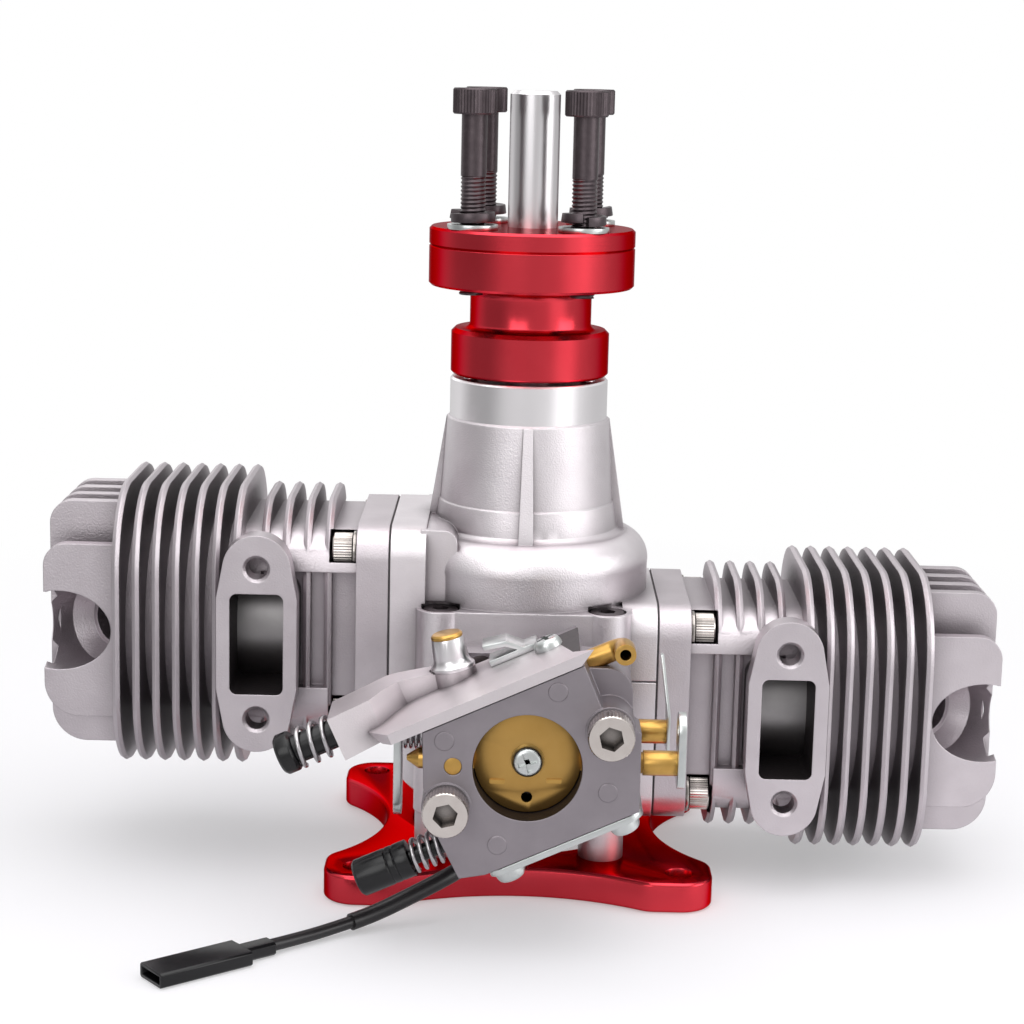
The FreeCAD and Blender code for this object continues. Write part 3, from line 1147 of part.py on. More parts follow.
def bearing_rings():
    """Outer rings of the three ball bearings, and the inner rings with their balls' cage band."""
    spots = [(MAIN_FLOOR, MAIN_BEARING_R, JOURNAL_R, MAIN_BEARING_T),
             (CHAMBER_HIGH, MAIN_BEARING_R, JOURNAL_R, MAIN_BEARING_T),
             (NOSE_BEARING_Z, NOSE_BEARING_R, NOSE_SHAFT_R, NOSE_BEARING_T)]
    outers = []
    inners = []
    for z, outer_r, inner_r, thick in spots:
        race_r = outer_r - RACE_T
        outers.append(tube(outer_r, race_r, (0, 0, z), Z, thick))
        inners.append(tube(race_r - FACE_GAP, inner_r, (0, 0, z + FACE_GAP), Z, thick - 2 * FACE_GAP))
    return group(outers), group(inners)


def crank_seal():
    """The rubber lip seal above the nose bearing."""
    z = NOSE_BEARING_Z + NOSE_BEARING_T + 0.4
    lip_r = NOSE_SHAFT_R + RUN_GAP
    return turned([(lip_r, z + 1.2), (NOSE_SHAFT_R + 1.4, z), (SEAL_R, z), (SEAL_R, z + SEAL_T),
                   (NOSE_SHAFT_R + 1.2, z + SEAL_T), (lip_r, z + 2.2)])


def nose_screws():
    """Small screws: four in the nose's end face and two that hold the sensor."""
    screws = [pan_screw((x, y, NOSE_TOP), Z, 1.5, 0.4, NOSE_SCREW_R, 3.0) for x, y in nose_screw_points()]
    for x, z in sensor_screw_points():
        screws.append(pan_screw((x, SENSOR_Y, z), Y, 2.2, 1.3, NOSE_SCREW_R, SENSOR_Y - NOSE_RING_R + 2.8))
    return group(screws)


def sensor():
    """The ignition pickup on the back of the nose ring, with its strain relief."""
    body = block((-SENSOR_HALF_X, 0, SENSOR_LOW), (SENSOR_HALF_X, SENSOR_Y, SENSOR_TOP))
    uprights = [e for e in body.Edges if e.BoundBox.ZLength > 5 and e.CenterOfMass.y > SENSOR_Y / 2]
    body = body.makeFillet(1.5, uprights)
    body = body.cut(cyl(NOSE_RING_R + FIT_GAP, (0, 0, NOSE_RING_Z), Z, NOSE_TOP))
    body = body.cut(cyl(RIB_TOP_R + 1.6, (0, 0, SENSOR_LOW - 1), Z, NOSE_RING_Z + 0.6 - SENSOR_LOW + 1))
    hole_r = NOSE_SCREW_R + FIT_GAP
    screws = [cyl(hole_r, (x, NOSE_RING_R - 2, z), Y, SENSOR_Y) for x, z in sensor_screw_points()]
    tongue_y = HUB_RING_R + 2 * FACE_GAP
    tongue = block((-3.0, tongue_y, SENSOR_TOP - 1), (3.0, tongue_y + 3.0, HUB_MAGNET_Z + 2.5))
    relief = turned([(LEAD_D / 2 + 0.1, -5.0), (1.9, -5.0), (2.4, 0), (LEAD_D / 2 + 0.1, 0)],
                    Vector(LEAD_ROUTE[0][0], LEAD_ROUTE[0][1], SENSOR_LOW))
    return fuse([cut(body, screws), tongue, relief])


def prop_hub():
    """The red hub: clamping ring, waisted neck with round fillets and the bolt flange."""
    ring_top = HUB_RING_Z + HUB_RING_T
    shaft_r = PROP_SHAFT_FOOT_R + 0.01
    hub = turned([
        (NOSE_SHAFT_R + 0.01, HUB_RING_Z), (HUB_RING_R - 0.5, HUB_RING_Z), (HUB_RING_R, HUB_RING_Z + 0.5),
        (HUB_RING_R, ring_top - 0.8), (HUB_RING_R - 0.8, ring_top), (HUB_NECK_R + HUB_FILLET * 0.5, ring_top),
        (HUB_NECK_R, ring_top + HUB_FILLET * 0.5, -0.22), (HUB_NECK_R, HUB_FLANGE_Z - HUB_FILLET),
        (HUB_NECK_R + HUB_FILLET, HUB_FLANGE_Z, -0.45), (HUB_FLANGE_R - 0.5, HUB_FLANGE_Z),
        (HUB_FLANGE_R, HUB_FLANGE_Z + 0.5), (HUB_FLANGE_R, HUB_TOP - 0.3), (HUB_FLANGE_R - 0.3, HUB_TOP),
        (shaft_r, HUB_TOP), (shaft_r, HUB_SOCKET_Z), (NOSE_SHAFT_R + 0.01, HUB_SOCKET_Z)])
    tools = [cyl(M5[0] + 0.01, (p.x, p.y, HUB_FLANGE_Z - 5), Z, HUB_TOP) for p in prop_bolt_points(0)]
    tools.append(cyl(MAGNET_R + 0.01, (0, HUB_RING_R - MAGNET_LEN, HUB_MAGNET_Z), Y, MAGNET_LEN + 1))
    return cut(hub, tools)


def prop_bolt_points(z):
    """The four propeller bolts."""
    angles = [radians(PROP_BOLT_TURN + 90 * i) for i in range(4)]
    return [Vector(PROP_BOLT_R * cos(a), PROP_BOLT_R * sin(a), z) for a in angles]


def prop_washer():
    """The red front washer that clamps the propeller."""
    bore_r = PROP_SHAFT_FOOT_R + 0.01
    disc = turned([(bore_r, HUB_TOP), (HUB_FLANGE_R - 0.3, HUB_TOP), (HUB_FLANGE_R, HUB_TOP + 0.3),
                   (HUB_FLANGE_R, DRIVER_TOP - 0.5), (HUB_FLANGE_R - 0.5, DRIVER_TOP), (bore_r, DRIVER_TOP)])
    return cut(disc, [cyl(M5[0] + FIT_GAP, p, Z, DRIVER_TOP) for p in prop_bolt_points(0)])


def prop_shaft():
    """The bright centre shaft that the propeller slides over, with a slimmer foot in the hub."""
    foot_r = PROP_SHAFT_FOOT_R
    return turned([(0, PROP_SHAFT_BOTTOM), (foot_r, PROP_SHAFT_BOTTOM), (foot_r, DRIVER_TOP),
                   (PROP_SHAFT_R, DRIVER_TOP), (PROP_SHAFT_R, PROP_SHAFT_TOP - 0.7),
                   (PROP_SHAFT_R - 0.7, PROP_SHAFT_TOP), (0, PROP_SHAFT_TOP)])


def prop_fasteners():
    """Four propeller bolts with a plain and a spring washer each."""
    bolts = [socket_screw(M5, p, Z, PROP_BOLT_LEN) for p in prop_bolt_points(PROP_BOLT_HEAD_Z)]
    hole_r = M5[0] + FIT_GAP
    plain = [tube(PLAIN_WASHER_R, hole_r, p, Z, PLAIN_WASHER_T) for p in prop_bolt_points(DRIVER_TOP)]
    springs = []
    for p in prop_bolt_points(DRIVER_TOP + PLAIN_WASHER_T):
        ring = tube(SPRING_WASHER_R, hole_r, p, Z, SPRING_WASHER_T)
        slit = block((M5[0] - 0.6, -0.35, -1), (SPRING_WASHER_R + 1, 0.35, SPRING_WASHER_T + 1))
        slit.rotate(Vector(0, 0, SPRING_WASHER_T / 2), X, 35)
        slit.rotate(Vector(0, 0, 0), Z, degrees(atan2(p.y, p.x)) + 40)
        slit.translate(p)
        springs.append(ring.cut(slit))
    return group(bolts), group(plain), group(springs)


def hub_magnet():
    """The ignition magnet in the rim of the hub's lower ring."""
    return cyl(MAGNET_R, (0, HUB_RING_R - MAGNET_LEN, HUB_MAGNET_Z), Y, MAGNET_LEN - 0.4)


def piston():
    """A hollow piston with a ring groove and wrist pin bosses, in the cylinder's own frame."""
    crown = WRIST_X + PISTON_CROWN
    skirt = WRIST_X - PISTON_SKIRT
    body = cyl(BORE_R - RUN_GAP, (skirt, 0, 0), X, crown - skirt)
    hollow = cyl(BORE_R - PISTON_WALL, (skirt - 1, 0, 0), X, crown - skirt - 3.0)
    bosses = [cyl(WRIST_PIN_R + 2.2, (WRIST_X, 0, 1 - BORE_R), Z, BORE_R * 0.62),
              cyl(WRIST_PIN_R + 2.2, (WRIST_X, 0, BORE_R - 1), Z.negative(), BORE_R * 0.62)]
    room = cyl(BORE_R - 1, (skirt, 0, 0), X, crown - skirt)
    body = fuse([body.cut(hollow)] + [b.common(room) for b in bosses])
    groove_x = crown - RING_DROP - RING_T
    groove = tube(BORE_R + 1, BORE_R - RING_DEPTH, (groove_x, 0, 0), X, RING_T)
    return cut(body, [groove, cyl(WRIST_PIN_R + 0.01, (WRIST_X, 0, -BORE_R), Z, 2 * BORE_R)])


def piston_ring():
    """The piston ring, with its gap."""
    x = WRIST_X + PISTON_CROWN - RING_DROP - RING_T
    ring = tube(BORE_R - RUN_GAP, BORE_R - RING_DEPTH, (x, 0, 0), X, RING_T)
    return ring.cut(block((x - 1, BORE_R - 3, -0.2), (x + RING_T + 1, BORE_R + 1, 0.2)))


def rod():
    """The connecting rod, with its eyes and an H-shaped shank."""
    big = cyl(ROD_BIG_R, (THROW, 0, -ROD_T / 2), Z, ROD_T)
    small = cyl(ROD_SMALL_R, (WRIST_X, 0, -ROD_SMALL_T / 2), Z, ROD_SMALL_T)
    half = ROD_T * 0.4
    shank = block((THROW + 5, -half, -half), (WRIST_X - 4, half, half))
    grooves = [block((THROW + 10, y0, -ROD_T * 0.25), (WRIST_X - 8, y0 + 1.6, ROD_T * 0.25))
               for y0 in (-half, half - 1.6)]
    body = fuse([big, small, cut(shank, grooves)])
    return cut(body, [cyl(PIN_R + 0.01, (THROW, 0, -ROD_T), Z, 2 * ROD_T),
                      cyl(WRIST_PIN_R + 0.01, (WRIST_X, 0, -ROD_T), Z, 2 * ROD_T)])


def running_pins():
    """The hollow wrist pin and the crankpin of one cylinder."""
    wrist = tube(WRIST_PIN_R, WRIST_PIN_R - 1.6, (WRIST_X, 0, 1.4 - BORE_R), Z, 2 * (BORE_R - 1.4))
    length = THROW_GAP - 2 * FACE_GAP
    crankpin = cyl(PIN_R, (THROW, 0, -length / 2), Z, length)
    return group([wrist, crankpin])


def lead_path():
    """The lead's centre line: straight runs joined by tangent arcs, and the arcs' radii."""
    points = [Vector(*p) for p in LEAD_ROUTE]
    edges = []
    radii = []
    start = points[0]
    for a, b, c in zip(points, points[1:], points[2:]):
        one = (a - b)
        two = (c - b)
        turn = radians(180) - one.getAngle(two)
        reach = 0.45 * min(one.Length, two.Length)
        radius = reach / tan(turn / 2)
        radii.append(radius)
        one.normalize()
        two.normalize()
        enter = b + one * reach
        leave = b + two * reach
        centre = b + (one + two).normalize() * (radius / cos(turn / 2))
        middle = centre + (b - centre).normalize() * radius
        edges.append(Part.LineSegment(start, enter).toShape())
        edges.append(Part.Arc(enter, middle, leave).toShape())
        start = leave
    edges.append(Part.LineSegment(start, points[-1]).toShape())
    return Part.Wire(edges), radii


def sensor_lead():
    """The ignition pickup's lead, from the strain relief to the plug."""
    path, radii = lead_path()
    first = Vector(*LEAD_ROUTE[0])
    direction = Vector(*LEAD_ROUTE[1]) - first
    section = Part.Wire(Part.makeCircle(LEAD_D / 2, first, direction))
    lead = path.makePipeShell([section], True, False)
    expected = path.Length * 3.14159265 * (LEAD_D / 2) ** 2
    print("lead length", round(path.Length, 1), "volume ratio", round(lead.Volume / expected, 4))
    print("lead arc radii", [round(r, 1) for r in radii])
    return lead


def lead_plug():
    """The flat black plug on the floor, open at its far end, with a narrower neck round the lead."""
    end = Vector(*LEAD_ROUTE[-1])
    before = Vector(*LEAD_ROUTE[-2])
    far = PLUG_NECK_LEN + PLUG_LEN
    wide = PLUG_W / 2
    floor = -end.z
    shell = block((PLUG_NECK_LEN, -wide, floor), (far, wide, floor + PLUG_H))
    shell = shell.makeChamfer(0.4, [e for e in shell.Edges if e.BoundBox.XLength > PLUG_LEN * 0.9])
    mouth = block((far - 8.0, -wide + 0.7, floor + 0.7), (far + 1, wide - 0.7, floor + PLUG_H - 0.7))
    neck = block((0, -PLUG_NECK_W / 2, floor), (PLUG_NECK_LEN + 1, PLUG_NECK_W / 2, floor + PLUG_H - 0.2))
    neck = neck.makeChamfer(0.5, [e for e in neck.Edges if e.BoundBox.XLength > PLUG_NECK_LEN])
    body = fuse([shell.cut(mouth), neck])
    body.rotate(Vector(0, 0, 0), Z, degrees(atan2(end.y - before.y, end.x - before.x)))
    body.translate(end)
    return body


# Places that follow from the driving dimensions
CHAMBER_HIGH = STAGGER_LEFT + THROW_GAP / 2 + WEB_T + 0.5
CHAMBER_LOW = STAGGER_RIGHT - THROW_GAP / 2 - WEB_T - 0.5
MAIN_FLOOR = CHAMBER_LOW - MAIN_BEARING_T
CASE_SEAT_Z = CASE_BOSS_TOP - M4[2]
WRIST_X = THROW + ROD_LEN
ROD_SMALL_T = 10.0
SEAL_R = 9.4
NOSE_SCREW_R = 1.0
NOSE_SCREW_AT = 12.4
CYL_WASHER_T = 0.8
BOLT_POCKET_R = 4.2
POCKET_DEPTH = M4[2] + CYL_WASHER_T + 0.6
MANIFOLD_T = -FRONT_FACE_Y - (CARB_FACE_Y + CARB_DEPTH + INSULATOR_T)
MANIFOLD_HALF_X = 15.5
MANIFOLD_LOW = 22.4
MANIFOLD_HIGH = 49.4
REED_T = 0.3
REED_TIP_Y = -CAVITY_R + 1.0
REED_WALL = 1.2
SPRING_BOSS_R = 3.3
EAR_LEFT = 10.0
EAR_RIGHT = 20.0
EAR_TOP = 54.2
EAR_R = 4.5
BRASS_PLUG_R = 1.6
BRASS_PLUG_X = CARB_X - 13.4
COVER_SCREW_U = (-11.0, 11.6)
COVER_SCREW_Y = (CARB_FACE_Y + 4.2, CARB_FACE_Y + CARB_DEPTH - 8.0)
COVER_SCREW_R = 1.5
PUMP_SCREW_U = 11.0
PUMP_SCREW_Y = CARB_FACE_Y + 14.0
MIXTURE_U = -38.2
MIXTURE_NEEDLE_R = 1.6
SPRING_ROOM = 8.6
POST_FOOT_R = 4.2
POST_PIN_R = 1.5
POST_PIN_LEN = 1.8
ELBOW_U = 24.0
ELBOW_V = 11.3
ELBOW_ROOT_U = 13.0
ELBOW_Y = -56.0
ELBOW_R = 1.95
ELBOW_BORE_R = 1.0
ELBOW_BEND = 2.6
ELBOW_REACH = 6.8
PUMP_TIP_U = 19.6
LUG_END_U = -30.4
IDLE_REACH = 17.0
SPINDLE_STEP_X = 22.0
CHOKE_LEFT = -18.6
CHOKE_RIGHT = 28.2
THROTTLE_LEFT = -22.6
THROTTLE_RIGHT = 27.4
ARM_T = 0.6
MAGNET_R = 2.0
MAGNET_LEN = 3.0
HUB_MAGNET_Z = HUB_RING_Z + HUB_RING_T / 2
HUB_SOCKET_Z = NOSE_SHAFT_TOP + 0.3


def build():
    """Makes every node."""
    NODES["mount_plate"] = mount_plate()
    NODES["standoffs"] = standoffs()
    NODES["countersunk_screws"] = flat_screws()
    front, rear, gasket = crankcase()
    NODES["crankcase_front"] = front
    NODES["crankcase_rear"] = rear
    gaskets = gasket.Solids + [base_gasket(-1, STAGGER_LEFT), base_gasket(1, STAGGER_RIGHT)]
    NODES["case_gaskets"] = group(gaskets)
    NODES["case_bolts"] = case_bolts()
    barrel = cylinder()
    NODES["cylinder_left"] = placed_cylinder(barrel, -1, STAGGER_LEFT)
    NODES["cylinder_right"] = placed_cylinder(barrel, 1, STAGGER_RIGHT)
    NODES["cylinder_bolts"], NODES["cylinder_washers"] = cylinder_bolts()
    NODES["bearing_outer_rings"], NODES["bearing_inner_rings"] = bearing_rings()
    NODES["crank_seal"] = crank_seal()
    NODES["nose_screws"] = nose_screws()
    NODES["ignition_sensor"] = sensor()
    NODES["reed_block"] = reed_block()
    NODES["reed_petals"] = reed_petals()
    NODES["insulator"] = insulator()
    NODES["carb_body"] = carb_body()
    NODES["pump_cover"] = pump_cover()
    NODES["carb_gaskets"] = group(carb_gaskets())
    NODES["metering_cover"] = metering_cover()
    NODES["carb_cover_screws"] = cover_screws()
    NODES["carb_bolts"] = carb_bolts()
    NODES["fuel_elbow"] = fuel_elbow()
    NODES["linkage_bracket"] = linkage_bracket()
    post, cap = post_parts()
    NODES["pump_post"] = post
    plug = cyl(BRASS_PLUG_R, (BRASS_PLUG_X, CARB_FACE_Y + 0.2, CARB_Z), Y, 2.6)
    NODES["brass_caps"] = group([cap, plug])
    idle_start = carb_point(LUG_END_U - SPRING_ROOM + 0.5, LUG_V, LUG_Y)
    mix_start = carb_point(MIXTURE_U + 10.7 + 0.5, MIXTURE_V, MIXTURE_Y)
    along = carb_direction(1, 0)
    NODES["adjuster_springs"] = group([
        coil(idle_start, along, IDLE_CORE_R + 0.8, 0.47, 2.5, 3.0),
        coil(mix_start, along, 2.9, 0.42, 1.6, 4.0)])
    spring_at = (THROTTLE_LEFT + 0.6, THROTTLE_Y, CARB_Z)
    NODES["return_spring"] = coil(spring_at, X, SPRING_BOSS_R + 0.65, 0.37, 1.0, 4.6)
    NODES["crankshaft"] = crankshaft()
    NODES["prop_hub"] = prop_hub()
    NODES["prop_washer"] = prop_washer()
    NODES["prop_shaft"] = prop_shaft()
    NODES["prop_bolts"], NODES["prop_plain_washers"], NODES["prop_spring_washers"] = prop_fasteners()
    NODES["hub_magnet"] = hub_magnet()
    for side, name, height in ((-1, "left", STAGGER_LEFT), (1, "right", STAGGER_RIGHT)):
        for label, shape in (("piston", piston()), ("piston_ring", piston_ring()), ("connecting_rod", rod()),
                             ("running_pins", running_pins())):
            NODES[label + "_" + name] = placed_cylinder(shape, side, height)
    choke = choke_parts()
    for label, shape in zip(("choke_shaft", "choke_disc", "choke_screw", "choke_lever"), choke):
        NODES[label] = shape
    throttle = throttle_parts()
    for label, shape in zip(("throttle_shaft", "throttle_disc", "throttle_lever", "throttle_arm"), throttle):
        NODES[label] = shape
    NODES["idle_screw"] = idle_screw()
    NODES["mixture_screw"] = mixture_screw()
    NODES["sensor_lead"] = sensor_lead()
    NODES["lead_plug"] = lead_plug()


def export():
    """Writes one file for each node."""
    os.makedirs("parts", exist_ok=True)
    for name, shape in NODES.items():
        if not shape.isValid():
            print("not valid:", name)
        print(name, len(shape.Solids), "solids, volume", round(shape.Volume, 1))
        shape.exportStep(os.path.join("parts", name + ".step"))
    print(len(NODES), "nodes")


build()
export()
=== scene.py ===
"""Looks of a flat-twin two-stroke model aircraft engine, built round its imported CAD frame.

Frame: metres in the scene, millimetres in the numbers below. +Z runs along the crankshaft to the propeller,
-Y is the carburettor side and +X the right-hand cylinder.
"""

from math import cos, pi, radians, sin, sqrt

import bmesh
import bpy
from mathutils import Matrix, Vector


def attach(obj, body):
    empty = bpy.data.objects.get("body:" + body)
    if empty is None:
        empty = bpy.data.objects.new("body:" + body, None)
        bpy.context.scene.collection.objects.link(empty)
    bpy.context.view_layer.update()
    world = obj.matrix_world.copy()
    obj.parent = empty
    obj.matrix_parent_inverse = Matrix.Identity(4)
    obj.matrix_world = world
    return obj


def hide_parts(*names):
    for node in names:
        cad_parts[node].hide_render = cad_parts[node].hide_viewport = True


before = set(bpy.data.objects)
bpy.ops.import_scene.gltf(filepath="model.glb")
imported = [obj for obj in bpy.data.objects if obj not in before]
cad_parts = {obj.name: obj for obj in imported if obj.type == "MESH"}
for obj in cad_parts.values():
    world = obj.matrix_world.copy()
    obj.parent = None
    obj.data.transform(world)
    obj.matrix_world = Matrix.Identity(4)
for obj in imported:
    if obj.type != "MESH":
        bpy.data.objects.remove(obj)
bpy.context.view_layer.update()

bl_info = {
    "name": "Flat twin engine",
    "version": (1, 0, 0),
    "blender": (4, 5, 0),
    "location": "3D View > Sidebar > Engine",
    "description": "Builds the finished pieces of a flat-twin model aircraft engine round its CAD frame",
    "category": "Object",
}

MM = 0.001
X = Vector((1, 0, 0))
Y = Vector((0, 1, 0))
Z = Vector((0, 0, 1))

# Camera, fitted to the photographed view: place in millimetres, then its right, up and forward directions
CAMERA_PLACE = (-1.97, -473.18, 162.44)
CAMERA_RIGHT = (0.9997, 0.0061, 0.0223)
CAMERA_UP = (-0.0231, 0.189, 0.9817)
CAMERA_FORWARD = (-0.0018, 0.982, -0.1891)
SENSOR_WIDTH = 36.0
CAMERA_LENS = 82.88

# How far the floor lies below the plate, so that the two faces don't fight
FLOOR_DROP = 0.2

# Height above which the nose is turned bright
NOSE_RING_Z = 91.5

# Above this height and in front of this depth, a nose screw sits in the nose's end
NOSE_END_Z = 95.0
NOSE_BACK_Y = 17.0

# Exhaust ports: places of their middles, half sizes and how far back their walls are rough and painted near
# black as shade
PORT_X = 51.9
PORT_FACE_Y = -25.9
PORT_LEFT_Z = 49.4
PORT_RIGHT_Z = 34.7
PORT_HALF_WIDTH = 5.2
PORT_HALF_HEIGHT = 10.4
PORT_DEEP_Y = -15.0

# Half the studio's brightness against the direction, in degrees from the front towards +X
STUDIO = ((-180, 0.3), (-118, 0.4), (-92, 0.2), (-58, 0.18), (-34, 0.3), (0, 0.34), (30, 0.4), (44, 0.66),
          (60, 0.68), (76, 0.36), (112, 0.3), (150, 0.3), (180, 0.3))

# Carburettor: place of its bore and how far it is turned about the bore
CARB_X = 1.1
CARB_Z = 37.5
CARB_TILT = 24.5
CARB_FACE_Y = -67.0
CARB_BORE_R = 9.9
DISC_FACE_Y = -62.2

# Along the carburettor's slant and across it: round cast marks, and embossed dashes on the choke disc
CAST_MARKS = ((10.6, 10.8), (-11.7, 10.5), (11.5, -9.9), (-10.7, -11.1))
DISC_DASHES = ((-6.6, -1.4), (2.9, -5.4))
DASH_SIZE = (2.8, 0.5, 0.9)

# Springs: place of the first end, along the slant, across it and back to front on the two adjusters, then
# mean radius, wire radius, length and turns
IDLE_SPRING_PLACE = (-38.5, 17.0, -56.0)
IDLE_SPRING = (3.5, 0.47, 7.5, 3.0)
MIXTURE_SPRING_PLACE = (-27.0, -9.6, -58.5)
MIXTURE_SPRING = (2.9, 0.42, 6.4, 4.0)
RETURN_SPRING_PLACE = (-22.0, -41.3, CARB_Z)
RETURN_SPRING = (3.95, 0.37, 4.6, 4.6)

# Socket screws: shank radius, head radius, head height and key across flats
M5 = (2.5, 4.25, 5.0, 4.0)
M4 = (2.0, 3.5, 4.0, 3.0)

# Socket heads: depth of the knurls and of the drawn-in rims as shares of the radius, the share of the half
# height past which a ring is a rim, and the power that moves the other rings out towards the rims
KNURL_DEPTH = 0.035
RIM_DEPTH = 0.06
RIM_START = 0.9
RIM_POWER = 0.116

# Middle of the tool that cuts the hexagon, as a share of the head's height: it reaches just past half the head
KEY_MIDDLE = -0.04

# Chamfered mouth of the hexagon: its radii as shares of the hexagon's, its depth and where its middle lies
MOUTH_TOP = 1.16
MOUTH_BOTTOM = 0.84
MOUTH_DEPTH = 0.5
MOUTH_Z = -0.4

# Pan heads: how far their outline bends over, in degrees, and the power that makes it fuller
PAN_BEND = 84
PAN_FULLNESS = 0.35

# Faces that turn by more than these meet in a sharp edge, or in one that is rounded
EDGE_ANGLE = 32.0
BEVEL_ANGLE = 30.0

# Corners of a CAD mesh that are nearer than this are one
MERGE_DISTANCE = 0.002 * MM

# How far the two ends of a spring washer stand apart
SPRING_WASHER_RISE = 0.6

# Ground centre shaft: radius and height
SHAFT_PROFILE = ((0, 118.2), (4.6, 118.2), (4.6, 129.4), (5.0, 129.4), (5.0, 155.5), (4.3, 156.2), (0, 156.2))

# Sensor lead
LEAD_D = 2.4
SLEEVE_D = 3.3
LEAD_ROUTE = (
    (0.0, 20.5, 86.0), (0.0, 20.5, 77.0), (0.0, 27.0, 64.5), (0.0, 32.0, 52.0), (0.0, 33.4, 38.0),
    (0.0, 33.6, 24.0), (-0.3, 30.6, 14.6), (-0.9, 22.4, 9.4), (-1.6, 11.5, 6.6), (-2.4, -1.0, 5.2),
    (-3.0, -12.5, 6.8), (-3.6, -23.0, 9.3), (-6.0, -32.0, 10.0), (-11.6, -40.4, 8.4), (-20.5, -45.2, 4.9),
    (-27.6, -49.0, 2.4), (-35.0, -54.6, 1.5), (-40.2, -59.2, 1.4), (-45.2, -63.2, 1.4))


def hex_colour(text):
    """A hex sRGB colour as linear red, green and blue."""
    parts = [int(text[i:i + 2], 16) / 255 for i in (1, 3, 5)]
    return tuple(c / 12.92 if c <= 0.04045 else ((c + 0.055) / 1.055) ** 2.4 for c in parts)


def add(tree, kind, links=None, **settings):
    """Adds a node with its settings and its inputs, as values or as outputs, and gives its first output."""
    made = tree.nodes.new(kind)
    for key, value in settings.items():
        setattr(made, key, value)
    for key, value in (links or {}).items():
        if isinstance(value, bpy.types.NodeSocket):
            tree.links.new(value, made.inputs[key])
        else:
            made.inputs[key].default_value = value
    return made.outputs[0] if made.outputs else made


def emptied(owner):
    """The node tree of a material or a world, without its nodes."""
    owner.use_nodes = True
    owner.node_tree.nodes.clear()
    return owner.node_tree


# Finishes

FINISHES = {}


def finish(name):
    """The finish of that name, made once."""
    if name not in FINISHES:
        FINISHES[name] = bpy.data.materials.new(name)
        MAKERS[name](emptied(FINISHES[name]))
    return FINISHES[name]


def close_shader(tree, surface, colour, bump=None, roughness=None):
    """Ends a material: the shader's own constants, with colour, roughness and bump as given."""
    shader = add(tree, "ShaderNodeBsdfPrincipled", surface)
    for key, value in (("Base Color", colour), ("Roughness", roughness), ("Normal", bump)):
        if isinstance(value, bpy.types.NodeSocket):
            tree.links.new(value, shader.node.inputs[key])
        elif value is not None:
            shader.node.inputs[key].default_value = value
    add(tree, "ShaderNodeOutputMaterial", {"Surface": shader})


def blotches(tree, size_mm, low, high, place=None):
    """Two close colours mixed by soft noise of a size in millimetres."""
    noise = add(tree, "ShaderNodeTexNoise", {"Vector": place or object_place(tree), "Scale": 1000 / size_mm,
                                             "Detail": 3.0})
    return add(tree, "ShaderNodeMix", {"Factor": noise, 6: (*hex_colour(low), 1), 7: (*hex_colour(high), 1)},
               data_type="RGBA").node.outputs[2]


def grain(tree, size_mm, depth_mm, strength=1.0, edge_mm=0.0, place=None):
    """A bump of fine round grain, over edges that look rounded by a width."""
    noise = add(tree, "ShaderNodeTexNoise", {"Vector": place or object_place(tree), "Scale": 1000 / size_mm,
                                             "Detail": 2.0})
    bump = add(tree, "ShaderNodeBump", {"Strength": strength, "Distance": depth_mm * MM, "Height": noise})
    if edge_mm:
        edge = add(tree, "ShaderNodeBevel", {"Radius": edge_mm * MM}, samples=4)
        tree.links.new(edge, bump.node.inputs["Normal"])
    return bump


def object_place(tree):
    """Object coordinates."""
    return add(tree, "ShaderNodeTexCoord").node.outputs["Object"]


def turned_place(tree):
    """Coordinates for tool marks that run round the crank axis: radius and height only."""
    parts = add(tree, "ShaderNodeSeparateXYZ", {0: object_place(tree)}).node.outputs
    flat = add(tree, "ShaderNodeCombineXYZ", {0: parts[0], 1: parts[1]})
    radius = add(tree, "ShaderNodeVectorMath", {0: flat}, operation="LENGTH").node.outputs["Value"]
    return add(tree, "ShaderNodeCombineXYZ", {0: radius, 2: parts[2]})


def studio(tree, direction):
    """Brightness of the studio in a level direction: softboxes and darker gaps round the engine."""
    parts = add(tree, "ShaderNodeSeparateXYZ", {0: direction}).node.outputs
    front = add(tree, "ShaderNodeMath", {0: parts[1], 1: -1.0}, operation="MULTIPLY")
    angle = add(tree, "ShaderNodeMath", {0: parts[0], 1: front}, operation="ARCTAN2")
    share = add(tree, "ShaderNodeMapRange", {"Value": angle, "From Min": -pi, "From Max": pi})
    ramp = add(tree, "ShaderNodeValToRGB", {0: share})
    stops = ramp.node.color_ramp.elements
    for degrees, level in STUDIO[1:-1]:
        stops.new(degrees / 360 + 0.5)
    for stop, (degrees, level) in zip(stops, STUDIO):
        stop.position = degrees / 360 + 0.5
        stop.color = (level, level, level, 1)
    return add(tree, "ShaderNodeMath", {0: ramp, 1: 2.0}, operation="MULTIPLY")


def with_painted_shade(tree, colour, dark, reach_mm, power=1.4):
    """A colour painted darker in gaps and corners, where shade falls: painted shade, from how open each point
    is.
    """
    open_part = add(tree, "ShaderNodeAmbientOcclusion", {"Distance": reach_mm * MM},
                    samples=8).node.outputs["AO"]
    share = add(tree, "ShaderNodeMath", {0: open_part, 1: power}, operation="POWER")
    return add(tree, "ShaderNodeMix", {"Factor": share, 6: (*hex_colour(dark), 1), 7: colour},
               data_type="RGBA").node.outputs[2]


def cast_aluminium(tree):
    """Blasted cast aluminium of the cylinders: mauve grey, with painted shade darkening the gaps between the
    fins, and 0.35 mm blasting grain.
    """
    colour = with_painted_shade(tree, blotches(tree, 7.0, "#BBB3B8", "#CFC8CC"), "#7A7377", 6.0, 1.1)
    close_shader(tree, {"Metallic": 1.0, "Roughness": 0.42}, colour, grain(tree, 0.35, 0.06, 1.0, 0.3))


